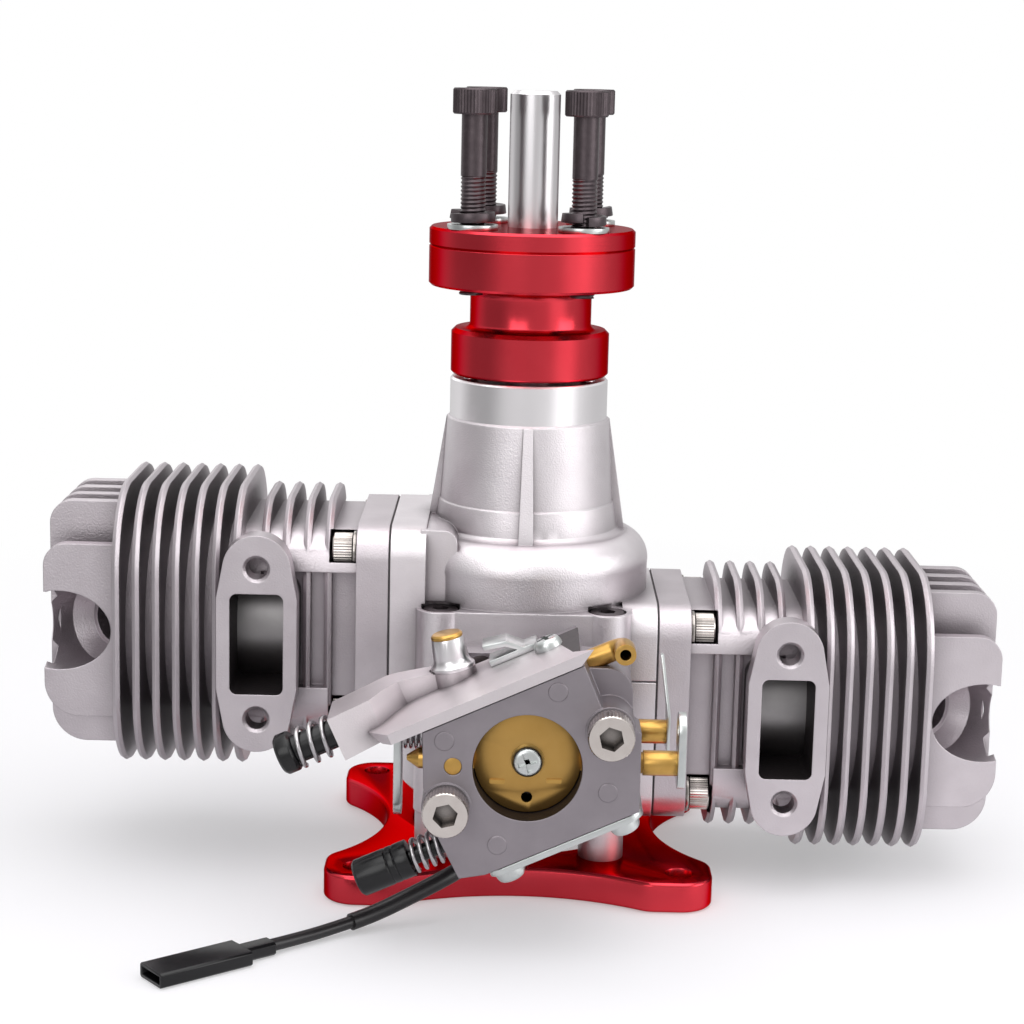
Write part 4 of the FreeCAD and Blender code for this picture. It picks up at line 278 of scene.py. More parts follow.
def blasted_aluminium(tree):
    """Fine blasted aluminium of the case: pale grey and satin, with painted shade in its corners and 0.3 mm
    blasting grain.
    """
    colour = with_painted_shade(tree, blotches(tree, 6.0, "#D4CDD1", "#E6E1E4"), "#5A5256", 5.0)
    close_shader(tree, {"Metallic": 1.0, "Roughness": 0.42}, colour, grain(tree, 0.3, 0.06, 1.0, 0.35))


def painted_hollow_shade(tree):
    """Rough casting skin inside the exhaust ports and the carburettor bore: dull, and painted near black as
    the shade in these hollows.
    """
    colour = blotches(tree, 3.0, "#262123", "#383234")
    close_shader(tree, {"Metallic": 0.8, "Roughness": 0.6}, colour, grain(tree, 0.5, 0.08, 1.0))


def machined_aluminium(tree):
    """Turned aluminium: bright, with tool marks 0.2 mm apart round the axis."""
    colour = blotches(tree, 9.0, "#ECE8EB", "#F5F2F4")
    close_shader(tree, {"Metallic": 1.0, "Roughness": 0.24}, colour,
                 grain(tree, 0.2, 0.006, 0.6, place=turned_place(tree)))


def satin_aluminium(tree):
    """Bead-blasted and clear anodised aluminium: pale and even, with painted shade in its corners."""
    colour = with_painted_shade(tree, blotches(tree, 6.0, "#D0C9CC", "#DCD5D8"), "#5A5256", 3.0)
    close_shader(tree, {"Metallic": 1.0, "Roughness": 0.42}, colour, grain(tree, 0.25, 0.04, 0.9))


def milled_aluminium(tree):
    """Milled aluminium of the exhaust flanges: nearly white, with cutter marks 0.3 mm apart and painted shade
    round their holes and edges.
    """
    colour = with_painted_shade(tree, blotches(tree, 4.0, "#D3CED1", "#E8E5E7"), "#7A7377", 1.6)
    close_shader(tree, {"Metallic": 0.2, "Roughness": 0.4}, colour, grain(tree, 0.3, 0.012, 0.6))


def red_anodised(tree):
    """Red anodised, turned aluminium: deep red metal with fine marks 0.25 mm apart round the axis."""
    colour = blotches(tree, 10.0, "#C8343F", "#D6424C")
    close_shader(tree, {"Metallic": 1.0, "Roughness": 0.22, "Specular Tint": (*hex_colour("#BC5965"), 1)},
                 colour, grain(tree, 0.25, 0.008, 0.7, place=turned_place(tree)))


def carb_casting(tree):
    """Zinc die casting: smooth mauve grey, satin, with faint flow marks."""
    colour = blotches(tree, 5.0, "#878186", "#9A9398")
    close_shader(tree, {"Metallic": 0.9, "Roughness": 0.42}, colour, grain(tree, 0.8, 0.02, 0.6, 0.35))


def nickel_plate(tree):
    """Nickel plated steel: bright with a warm tint, with near-black painted shade in the hexagon sockets and
    tight corners.
    """
    colour = with_painted_shade(tree, blotches(tree, 3.0, "#C6BDB8", "#D9D2CD"), "#1E1A19", 2.6, 2.4)
    close_shader(tree, {"Metallic": 1.0, "Roughness": 0.24}, colour, grain(tree, 0.3, 0.008, 0.5))


def zinc_plate(tree):
    """Bright zinc plate: cool silver with slight clouding."""
    colour = blotches(tree, 2.5, "#BABEBD", "#D2D5D4")
    close_shader(tree, {"Metallic": 1.0, "Roughness": 0.3}, colour, grain(tree, 0.3, 0.01, 0.5))


def polished_steel(tree):
    """Ground and polished steel: bright, with painted reflection streaks along the axis and faint marks round
    it.
    """
    painted_reflection_streaks = add(tree, "ShaderNodeMapping", {"Vector": object_place(tree), "Scale": (1, 1, 0.04)})
    colour = blotches(tree, 1.6, "#C4C0C2", "#F0EEF0", painted_reflection_streaks)
    close_shader(tree, {"Metallic": 1.0, "Roughness": 0.28}, colour,
                 grain(tree, 0.3, 0.004, 0.5, place=turned_place(tree)))


def bearing_steel(tree):
    """Ground bearing steel: bright grey."""
    colour = blotches(tree, 4.0, "#B4B4B8", "#C4C4C8")
    close_shader(tree, {"Metallic": 1.0, "Roughness": 0.22}, colour)


def spring_steel(tree):
    """Drawn spring wire: bright grey with fine drawing marks."""
    colour = blotches(tree, 1.5, "#A9A6A8", "#C4C1C3")
    close_shader(tree, {"Metallic": 1.0, "Roughness": 0.25}, colour)


def black_oxide(tree):
    """Black oxide on steel: dark brown grey metal with an oily sheen."""
    colour = blotches(tree, 1.2, "#453D40", "#5E5558")
    close_shader(tree, {"Metallic": 0.9, "Roughness": 0.38}, colour, grain(tree, 0.2, 0.008, 0.5))


def brass(tree):
    """Turned brass: yellow metal, lightly dulled."""
    colour = blotches(tree, 2.0, "#B48C48", "#CBA25C")
    close_shader(tree, {"Metallic": 1.0, "Roughness": 0.3}, colour, grain(tree, 0.25, 0.008, 0.5))


def black_plastic(tree):
    """Moulded black nylon: half gloss with a faint moulded grain."""
    colour = blotches(tree, 3.0, "#0B0B0D", "#131315")
    close_shader(tree, {"Roughness": 0.26, "IOR": 1.42}, colour, grain(tree, 0.3, 0.01, 0.5))


def gasket_paper(tree):
    """Gasket paper: matt dark grey fibre."""
    colour = blotches(tree, 0.8, "#4A4648", "#5C5759")
    close_shader(tree, {"Roughness": 0.85, "IOR": 1.5}, colour)


def seal_rubber(tree):
    """Nitrile rubber: matt black."""
    colour = blotches(tree, 1.5, "#111113", "#1A1A1C")
    close_shader(tree, {"Roughness": 0.6, "IOR": 1.52}, colour)


def magnet_metal(tree):
    """Nickel coated magnet: smooth silver."""
    colour = blotches(tree, 2.0, "#BFC0C2", "#CDCED0")
    close_shader(tree, {"Metallic": 1.0, "Roughness": 0.2}, colour)


def lead_jacket(tree):
    """Extruded PVC jacket: brown black and slightly waxy."""
    colour = blotches(tree, 6.0, "#141214", "#1E1B1D")
    close_shader(tree, {"Roughness": 0.36, "IOR": 1.53}, colour, grain(tree, 0.6, 0.015, 0.5))


def piston_alloy(tree):
    """Turned piston alloy: soft grey with an oily film."""
    colour = blotches(tree, 4.0, "#8E8B8C", "#A29F9F")
    close_shader(tree, {"Metallic": 1.0, "Roughness": 0.4}, colour)


def bright_disc(tree):
    """Yellow passivated steel disc: brass tan with fine rolling lines."""
    stretched = add(tree, "ShaderNodeMapping", {"Vector": object_place(tree), "Scale": (1, 1, 12)})
    colour = blotches(tree, 5.0, "#AE8748", "#C09A5A")
    close_shader(tree, {"Metallic": 1.0, "Roughness": 0.36}, colour,
                 grain(tree, 2.0, 0.006, 0.5, place=stretched))


MAKERS = {maker.__name__: maker for maker in (
    cast_aluminium, blasted_aluminium, painted_hollow_shade, machined_aluminium, satin_aluminium, milled_aluminium,
    red_anodised, carb_casting, nickel_plate, zinc_plate, polished_steel, bearing_steel, spring_steel,
    black_oxide, brass, black_plastic, gasket_paper, seal_rubber, magnet_metal, lead_jacket, piston_alloy,
    bright_disc)}


# Objects and meshes

def placed(name, data):
    """A new object of the scene."""
    obj = bpy.data.objects.new(name, data)
    bpy.context.scene.collection.objects.link(obj)
    return obj


def piece(name, mesh, body, finish_name, *nodes):
    """A finished piece that rides on a body, with its finish and the CAD nodes it stands for."""
    mesh.name = name
    mesh.shade_smooth()
    mesh.set_sharp_from_angle(angle=radians(EDGE_ANGLE))
    mesh.materials.clear()
    mesh.materials.append(finish(finish_name))
    obj = placed(name, mesh)
    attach(obj, body)
    if nodes:
        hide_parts(*nodes)
    return obj


def plain(obj):
    """The object's mesh with its modifiers worked in; the object itself is removed."""
    view = bpy.context.evaluated_depsgraph_get()
    mesh = bpy.data.meshes.new_from_object(obj.evaluated_get(view), depsgraph=view)
    bpy.data.objects.remove(obj)
    return mesh


def softened(node, width):
    """A copy of a CAD node's mesh; a width in millimetres joins its triangles and rounds its edges."""
    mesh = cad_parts[node].data.copy()
    work = bmesh.new()
    work.from_mesh(mesh)
    bmesh.ops.remove_doubles(work, verts=work.verts, dist=MERGE_DISTANCE)
    if width > 0:
        bmesh.ops.dissolve_limit(work, angle_limit=radians(0.6), verts=work.verts, edges=work.edges)
    work.to_mesh(mesh)
    work.free()
    if "custom_normal" in mesh.attributes:
        mesh.attributes.remove(mesh.attributes["custom_normal"])
    if width <= 0:
        return mesh
    obj = placed("helper", mesh)
    bevel = obj.modifiers.new("edge", "BEVEL")
    bevel.width = width * MM
    bevel.segments = 2
    bevel.limit_method = "ANGLE"
    bevel.angle_limit = radians(BEVEL_ANGLE)
    bevel.use_clamp_overlap = False
    return plain(obj)


def made_mesh(work, name):
    """A mesh with the faces of a bmesh, which is freed."""
    mesh = bpy.data.meshes.new(name)
    work.to_mesh(mesh)
    work.free()
    return mesh


def turned(profile, centre, axis=Z, steps=128):
    """A turned solid from (radius, height) pairs in millimetres about an axis."""
    work = bmesh.new()
    turn = axis.to_track_quat("Z", "Y") if axis != Z else Matrix.Identity(3).to_quaternion()
    rings = []
    for radius, height in profile:
        if radius < 1e-6:
            rings.append([work.verts.new((0, 0, height))])
        else:
            angles = [2 * pi * i / steps for i in range(steps)]
            rings.append([work.verts.new((radius * cos(a), radius * sin(a), height)) for a in angles])
    for a, b in zip(rings, rings[1:]):
        for i in range(steps):
            j = (i + 1) % steps
            corners = [a[i % len(a)], a[j % len(a)], b[j % len(b)], b[i % len(b)]]
            corners = [v for k, v in enumerate(corners) if v not in corners[:k]]
            if len(corners) > 2:
                work.faces.new(corners)
    bmesh.ops.recalc_face_normals(work, faces=work.faces)
    mesh = made_mesh(work, "turned")
    mesh.transform(Matrix.Translation(Vector(centre) * MM) @ turn.to_matrix().to_4x4() @ Matrix.Scale(MM, 4))
    return mesh


def joined(meshes):
    """Several meshes as one."""
    work = bmesh.new()
    for mesh in meshes:
        work.from_mesh(mesh)
    return made_mesh(work, "joined")


def islands(node):
    """The separate solids of a CAD node, each as its corner points."""
    work = bmesh.new()
    work.from_mesh(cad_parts[node].data)
    bmesh.ops.remove_doubles(work, verts=work.verts, dist=MERGE_DISTANCE)
    seen = set()
    found = []
    for start in work.verts:
        if start in seen:
            continue
        seen.add(start)
        queue = [start]
        corners = []
        while queue:
            here = queue.pop()
            corners.append(here.co.copy())
            for edge in here.link_edges:
                other = edge.other_vert(here)
                if other not in seen:
                    seen.add(other)
                    queue.append(other)
        found.append(corners)
    work.free()
    return found


def tops(node, axis_of):
    """For each solid of a CAD node, its outermost point along its axis, the axis and its length."""
    found = []
    for corners in islands(node):
        middle = sum(corners, Vector()) / len(corners)
        axis = axis_of(middle).normalized()
        turn = axis.to_track_quat("Z", "Y")
        local = [turn.inverted() @ c for c in corners]
        low = [min(p[i] for p in local) for i in range(3)]
        high = [max(p[i] for p in local) for i in range(3)]
        top = turn @ Vector(((low[0] + high[0]) / 2, (low[1] + high[1]) / 2, high[2]))
        found.append((top, axis, high[2] - low[2]))
    return found


def in_port(place):
    """Whether a point in millimetres lies on the walls of an exhaust port, behind its flange."""
    height = PORT_LEFT_Z if place.x < 0 else PORT_RIGHT_Z
    return (abs(abs(place.x) - PORT_X) < PORT_HALF_WIDTH and abs(place.z - height) < PORT_HALF_HEIGHT
            and PORT_FACE_Y + 0.2 < place.y < PORT_DEEP_Y)


def on_flange(place, normal):
    """Whether a point in millimetres lies on the milled front of an exhaust flange."""
    return abs(place.y - PORT_FACE_Y) < 0.1 and normal.y < -0.9


def carb_point(u, v, y):
    """A carburettor point, along its slant and across it, as a point of the engine in millimetres."""
    t = radians(CARB_TILT)
    return Vector((CARB_X + u * cos(t) - v * sin(t), y, CARB_Z + u * sin(t) + v * cos(t)))


def carb_direction(u, v):
    """A direction along the carburettor's slanted axes."""
    t = radians(CARB_TILT)
    return Vector((u * cos(t) - v * sin(t), 0, u * sin(t) + v * cos(t)))


def upward(place):
    """The way the propeller and case screws face."""
    return Z


def forward(place):
    """The way the screws on the carburettor's face look."""
    return -Y


def outward(place):
    """The way a cylinder's screws and washers face: away from the crank."""
    return X if place.x > 0 else -X


def off_carburettor(place):
    """The way a cover screw faces: up on the pump cover, down on the metering cover."""
    up = carb_direction(0, 1)
    return up if (place / MM - carb_point(0, 0, 0)).dot(up) > 0 else -up


def off_nose(place):
    """The way a nose screw faces: up on the nose's end, to the back where it holds the pickup."""
    return Z if place.z > NOSE_END_Z * MM and place.y < NOSE_BACK_Y * MM else Y


# Geometry node trees

def new_tree(name, sizes):
    """A geometry tree with points in and a finished mesh out, and one named input for each size."""
    tree = bpy.data.node_groups.new(name, "GeometryNodeTree")
    tree.interface.new_socket(name="Points", in_out="INPUT", socket_type="NodeSocketGeometry")
    for label, kind in sizes.items():
        tree.interface.new_socket(name=label, in_out="INPUT", socket_type="NodeSocket" + kind)
    tree.interface.new_socket(name="Finish", in_out="INPUT", socket_type="NodeSocketMaterial")
    tree.interface.new_socket(name="Result", in_out="OUTPUT", socket_type="NodeSocketGeometry")
    return tree, add(tree, "NodeGroupInput").node.outputs


def close_tree(tree, given, *shapes):
    """Stands the shapes on every point, along the point's axis, and ends the tree."""
    whole = add(tree, "GeometryNodeJoinGeometry")
    for shape in shapes:
        tree.links.new(shape, whole.node.inputs[0])
    axis = add(tree, "GeometryNodeInputNamedAttribute", {"Name": "axis"}, data_type="FLOAT_VECTOR")
    turn = add(tree, "GeometryNodeInputNamedAttribute", {"Name": "turn"}, data_type="FLOAT")
    aim = add(tree, "FunctionNodeAlignRotationToVector", {"Vector": axis}, axis="Z")
    spin = add(tree, "FunctionNodeAxisAngleToRotation", {"Angle": turn})
    way = add(tree, "FunctionNodeRotateRotation", {"Rotation": aim, "Rotate By": spin},
              rotation_space="LOCAL")
    copies = add(tree, "GeometryNodeInstanceOnPoints",
                 {"Points": given["Points"], "Instance": whole, "Rotation": way})
    real = add(tree, "GeometryNodeRealizeInstances", {"Geometry": copies})
    done = add(tree, "GeometryNodeSetMaterial", {"Geometry": real, "Material": given["Finish"]})
    add(tree, "NodeGroupOutput", {"Result": done})
    return tree


def socket_head(tree, given, parts, angle):
    """The head of a socket screw: knurled, with drawn-in rims and a hexagon under a chamfered mouth."""
    doubled = add(tree, "ShaderNodeMath", {0: given["Knurls"], 1: 2.0}, operation="MULTIPLY")
    blank = add(tree, "GeometryNodeMeshCylinder", {
        "Vertices": doubled, "Side Segments": 3, "Radius": given["Head Radius"],
        "Depth": given["Head Height"]})
    half = add(tree, "ShaderNodeMath", {0: given["Head Height"], 1: 0.5}, operation="MULTIPLY")
    share = add(tree, "ShaderNodeMath", {0: parts[2], 1: half}, operation="DIVIDE")
    size = add(tree, "ShaderNodeMath", {0: share}, operation="ABSOLUTE")
    spread = add(tree, "ShaderNodeMath", {0: size, 1: RIM_POWER}, operation="POWER")
    side = add(tree, "ShaderNodeMath", {0: share}, operation="SIGN")
    ring = add(tree, "ShaderNodeMath", {0: spread, 1: side}, operation="MULTIPLY")
    lowered = add(tree, "ShaderNodeMath", {0: ring, 1: 1.0}, operation="SUBTRACT")
    height = add(tree, "ShaderNodeMath", {0: lowered, 1: half}, operation="MULTIPLY")
    rim = add(tree, "ShaderNodeMath", {0: size, 1: RIM_START}, operation="GREATER_THAN")
    phase = add(tree, "ShaderNodeMath", {0: angle, 1: given["Knurls"]}, operation="MULTIPLY")
    wave = add(tree, "ShaderNodeMath", {0: phase}, operation="COSINE")
    dent = add(tree, "ShaderNodeMapRange", {"Value": wave, "From Min": -1.0, "From Max": 1.0,
                                            "To Min": 1.0, "To Max": 0.0})
    knurl = add(tree, "ShaderNodeMath", {0: dent, 1: given["Knurl Depth"]}, operation="MULTIPLY")
    edge = add(tree, "ShaderNodeMath", {0: rim, 1: RIM_DEPTH}, operation="MULTIPLY")
    inward = add(tree, "ShaderNodeMath", {0: knurl, 1: edge}, operation="MAXIMUM")
    kept = add(tree, "ShaderNodeMath", {0: 1.0, 1: inward}, operation="SUBTRACT")
    across = add(tree, "ShaderNodeMath", {0: parts[0], 1: kept}, operation="MULTIPLY")
    along = add(tree, "ShaderNodeMath", {0: parts[1], 1: kept}, operation="MULTIPLY")
    corner = add(tree, "ShaderNodeCombineXYZ", {0: across, 1: along, 2: height})
    head = add(tree, "GeometryNodeSetPosition", {"Geometry": blank, "Position": corner})
    key = add(tree, "GeometryNodeMeshCylinder", {
        "Vertices": 6, "Radius": given["Key Radius"], "Depth": given["Head Height"]})
    low = add(tree, "ShaderNodeMath", {0: given["Head Height"], 1: KEY_MIDDLE}, operation="MULTIPLY")
    key_place = add(tree, "ShaderNodeCombineXYZ", {2: low})
    key = add(tree, "GeometryNodeTransform", {"Geometry": key, "Translation": key_place})
    wide = add(tree, "ShaderNodeMath", {0: given["Key Radius"], 1: MOUTH_TOP}, operation="MULTIPLY")
    narrow = add(tree, "ShaderNodeMath", {0: given["Key Radius"], 1: MOUTH_BOTTOM}, operation="MULTIPLY")
    funnel = add(tree, "GeometryNodeMeshCone", {
        "Vertices": 40, "Radius Top": wide, "Radius Bottom": narrow, "Depth": MOUTH_DEPTH * MM})
    funnel = add(tree, "GeometryNodeTransform", {"Geometry": funnel, "Translation": (0, 0, MOUTH_Z * MM)})
    head = add(tree, "GeometryNodeMeshBoolean", {0: head, 1: key}, operation="DIFFERENCE")
    return add(tree, "GeometryNodeMeshBoolean", {0: head, 1: funnel}, operation="DIFFERENCE")


def threaded_shank(tree, given, place, parts, angle):
    """The shank of a socket screw: plain under the head and threaded below."""
    rod = add(tree, "GeometryNodeMeshCylinder", {
        "Vertices": 28, "Side Segments": given["Thread Rings"], "Radius": given["Shank Radius"],
        "Depth": given["Length"]})
    climb = add(tree, "ShaderNodeMath", {0: parts[2], 1: given["Thread Pitch"]}, operation="DIVIDE")
    round_part = add(tree, "ShaderNodeMath", {0: angle, 1: 2 * pi}, operation="DIVIDE")
    helix = add(tree, "ShaderNodeMath", {0: climb, 1: round_part}, operation="SUBTRACT")
    ridge = add(tree, "ShaderNodeMath", {0: helix, 1: 0.5}, operation="PINGPONG")
    cut = add(tree, "ShaderNodeMath", {0: ridge, 1: given["Thread Depth"]}, operation="MULTIPLY")
    start = add(tree, "ShaderNodeMath", {0: given["Length"], 1: 0.5}, operation="MULTIPLY")
    start = add(tree, "ShaderNodeMath", {0: start, 1: given["Plain Length"]}, operation="SUBTRACT")
    threaded = add(tree, "ShaderNodeMath", {0: parts[2], 1: start}, operation="LESS_THAN")
    cut = add(tree, "ShaderNodeMath", {0: cut, 1: threaded}, operation="MULTIPLY")
    left = add(tree, "ShaderNodeMath", {0: 1.0, 1: cut}, operation="SUBTRACT")
    scaled = add(tree, "ShaderNodeVectorMath", {0: place, "Scale": left}, operation="SCALE")
    scaled_parts = add(tree, "ShaderNodeSeparateXYZ", {0: scaled}).node.outputs
    drop = add(tree, "ShaderNodeMath", {0: given["Length"], 1: 0.5}, operation="MULTIPLY")
    drop = add(tree, "ShaderNodeMath", {0: drop, 1: given["Head Height"]}, operation="ADD")
    drop = add(tree, "ShaderNodeMath", {0: parts[2], 1: drop}, operation="SUBTRACT")
    thread = add(tree, "ShaderNodeCombineXYZ", {0: scaled_parts[0], 1: scaled_parts[1], 2: drop})
    return add(tree, "GeometryNodeSetPosition", {"Geometry": rod, "Position": thread})


def socket_screw_tree():
    """A socket cap screw that hangs from the top of its head: knurled head, hexagon and thread."""
    tree, given = new_tree("Socket Screw", {
        "Shank Radius": "Float", "Head Radius": "Float", "Head Height": "Float", "Key Radius": "Float",
        "Length": "Float", "Plain Length": "Float", "Thread Pitch": "Float", "Thread Depth": "Float",
        "Thread Rings": "Int", "Knurls": "Int", "Knurl Depth": "Float"})
    place = add(tree, "GeometryNodeInputPosition")
    parts = add(tree, "ShaderNodeSeparateXYZ", {0: place}).node.outputs
    angle = add(tree, "ShaderNodeMath", {0: parts[1], 1: parts[0]}, operation="ARCTAN2")
    shank = threaded_shank(tree, given, place, parts, angle)
    return close_tree(tree, given, shank, socket_head(tree, given, parts, angle))


def pan_screw_tree():
    """A pan head screw, hanging from the top of its head, with a cross recess."""
    tree, given = new_tree("Pan Screw", {
        "Head Radius": "Float", "Head Height": "Float", "Shank Radius": "Float", "Length": "Float",
        "Slot Width": "Float", "Slot Reach": "Float"})
    place = add(tree, "GeometryNodeInputPosition")
    parts = add(tree, "ShaderNodeSeparateXYZ", {0: place}).node.outputs
    blank = add(tree, "GeometryNodeMeshCylinder", {
        "Vertices": 56, "Side Segments": 8, "Radius": given["Head Radius"], "Depth": given["Head Height"]})
    share = add(tree, "ShaderNodeMath", {0: parts[2], 1: given["Head Height"]}, operation="DIVIDE")
    share = add(tree, "ShaderNodeMath", {0: share, 1: 0.5}, operation="ADD")
    lift = add(tree, "ShaderNodeMath", {0: share, 1: radians(PAN_BEND)}, operation="MULTIPLY")
    rise = add(tree, "ShaderNodeMath", {0: lift}, operation="SINE")
    inward = add(tree, "ShaderNodeMath", {0: lift}, operation="COSINE")
    width = add(tree, "ShaderNodeMath", {0: inward, 1: PAN_FULLNESS}, operation="POWER")
    high = add(tree, "ShaderNodeMath", {0: rise, 1: 1.0}, operation="SUBTRACT")
    high = add(tree, "ShaderNodeMath", {0: high, 1: given["Head Height"]}, operation="MULTIPLY")
    across = add(tree, "ShaderNodeMath", {0: parts[0], 1: width}, operation="MULTIPLY")
    along = add(tree, "ShaderNodeMath", {0: parts[1], 1: width}, operation="MULTIPLY")
    corner = add(tree, "ShaderNodeCombineXYZ", {0: across, 1: along, 2: high})
    head = add(tree, "GeometryNodeSetPosition", {"Geometry": blank, "Position": corner})
    depth = add(tree, "ShaderNodeMath", {0: given["Head Height"], 1: 1.1}, operation="MULTIPLY")
    for first, second in (("Slot Reach", "Slot Width"), ("Slot Width", "Slot Reach")):
        size = add(tree, "ShaderNodeCombineXYZ", {0: given[first], 1: given[second], 2: depth})
        tool = add(tree, "GeometryNodeMeshCube", {"Size": size})
        head = add(tree, "GeometryNodeMeshBoolean", {0: head, 1: tool}, operation="DIFFERENCE")
    rod = add(tree, "GeometryNodeMeshCylinder", {
        "Vertices": 20, "Radius": given["Shank Radius"], "Depth": given["Length"]})
    drop = add(tree, "ShaderNodeMath", {0: given["Length"], 1: -0.5}, operation="MULTIPLY")
    drop = add(tree, "ShaderNodeMath", {0: drop, 1: given["Head Height"]}, operation="SUBTRACT")
    down = add(tree, "ShaderNodeCombineXYZ", {2: drop})
    rod = add(tree, "GeometryNodeTransform", {"Geometry": rod, "Translation": down})
    return close_tree(tree, given, rod, head)


def coil_tree():
    """A helical spring whose first end stands on the point."""
    tree, given = new_tree("Coil Spring", {
        "Mean Radius": "Float", "Wire Radius": "Float", "Height": "Float", "Turns": "Float"})
    spiral = add(tree, "GeometryNodeCurveSpiral", {
        "Resolution": 40, "Rotations": given["Turns"], "Start Radius": given["Mean Radius"],
        "End Radius": given["Mean Radius"], "Height": given["Height"]})
    wire = add(tree, "GeometryNodeCurvePrimitiveCircle", {"Resolution": 14, "Radius": given["Wire Radius"]})
    body = add(tree, "GeometryNodeCurveToMesh", {"Curve": spiral, "Profile Curve": wire, "Fill Caps": True})
    return close_tree(tree, given, body)


def washer_tree():
    """A washer below the point: a split spring washer, or a plain one when it is closed."""
    tree, given = new_tree("Washer", {
        "Mean Radius": "Float", "Width": "Float", "Thickness": "Float", "Sweep": "Float", "Rise": "Float",
        "Closed": "Bool"})
    arc = add(tree, "GeometryNodeCurveArc", {
        "Resolution": 64, "Radius": given["Mean Radius"], "Sweep Angle": given["Sweep"]})
    arc = add(tree, "GeometryNodeSetSplineCyclic", {"Geometry": arc, "Cyclic": given["Closed"]})
    along = add(tree, "GeometryNodeSplineParameter").node.outputs["Factor"]
    lift = add(tree, "ShaderNodeMath", {0: along, 1: -0.5}, operation="ADD")
    lift = add(tree, "ShaderNodeMath", {0: lift, 1: given["Rise"]}, operation="MULTIPLY")
    down = add(tree, "ShaderNodeMath", {0: given["Thickness"], 1: 0.5}, operation="MULTIPLY")
    lift = add(tree, "ShaderNodeMath", {0: lift, 1: down}, operation="SUBTRACT")
    offset = add(tree, "ShaderNodeCombineXYZ", {2: lift})
    arc = add(tree, "GeometryNodeSetPosition", {"Geometry": arc, "Offset": offset})
    bar = add(tree, "GeometryNodeCurvePrimitiveQuadrilateral", {
        "Width": given["Width"], "Height": given["Thickness"]})
    bar = add(tree, "GeometryNodeFilletCurve", {"Curve": bar, "Radius": 0.12 * MM, "Count": 2}, mode="POLY")
    body = add(tree, "GeometryNodeCurveToMesh", {"Curve": arc, "Profile Curve": bar, "Fill Caps": True})
    return close_tree(tree, given, body)


TREES = {}


def scattered(maker, spots, values, finish_name, turns=(0.0,)):
    """The mesh a tree makes on the given spots, with its sizes set before it is first worked out."""
    if maker not in TREES:
        TREES[maker] = maker()
    tree = TREES[maker]
    mesh = bpy.data.meshes.new("spots")
    mesh.from_pydata([tuple(spot[0]) for spot in spots], [], [])
    mesh.attributes.new("axis", "FLOAT_VECTOR", "POINT")
    mesh.attributes.new("turn", "FLOAT", "POINT")
    for i, spot in enumerate(spots):
        mesh.attributes["axis"].data[i].vector = spot[1]
        mesh.attributes["turn"].data[i].value = turns[i % len(turns)]
    obj = placed("helper", mesh)
    modifier = obj.modifiers.new("make", "NODES")
    modifier.node_group = tree
    for socket in tree.interface.items_tree:
        if socket.in_out == "INPUT" and socket.name in values:
            modifier[socket.identifier] = values[socket.name]
        elif socket.name == "Finish":
            modifier[socket.identifier] = finish(finish_name)
    return plain(obj)


# The sizes and colours a user would change

class EngineSizes(bpy.types.PropertyGroup):
    """Sizes of the finished pieces."""
    knurls: bpy.props.IntProperty(name="Knurls", description="Knurls round the head of a socket screw",
                                  default=40)
    thread: bpy.props.FloatProperty(name="Thread pitch", description="Pitch of the propeller bolts, in mm",
                                    default=0.8)
    plain: bpy.props.FloatProperty(name="Plain shank",
                                   description="Length without thread under the heads of the "
                                   "propeller bolts, in mm", default=12.0)
    mark: bpy.props.FloatProperty(name="Cast marks",
                                  description="Radius of the round marks on the casting, in mm",
                                  default=1.8)


class EngineStage(bpy.types.PropertyGroup):
    """Floor, lamps and background."""
    floor: bpy.props.FloatVectorProperty(name="Floor", description="Colour of the floor", subtype="COLOR",
                                         default=hex_colour("#F4F2F7"), min=0.0, max=1.0)
    key: bpy.props.FloatProperty(name="Key lamp", description="Power of the lamp above", default=4.6,
                                 unit="POWER")
    fill: bpy.props.FloatProperty(name="Fill lamp", description="Power of the front lamp", default=2.0,
                                  unit="POWER")


# Operators

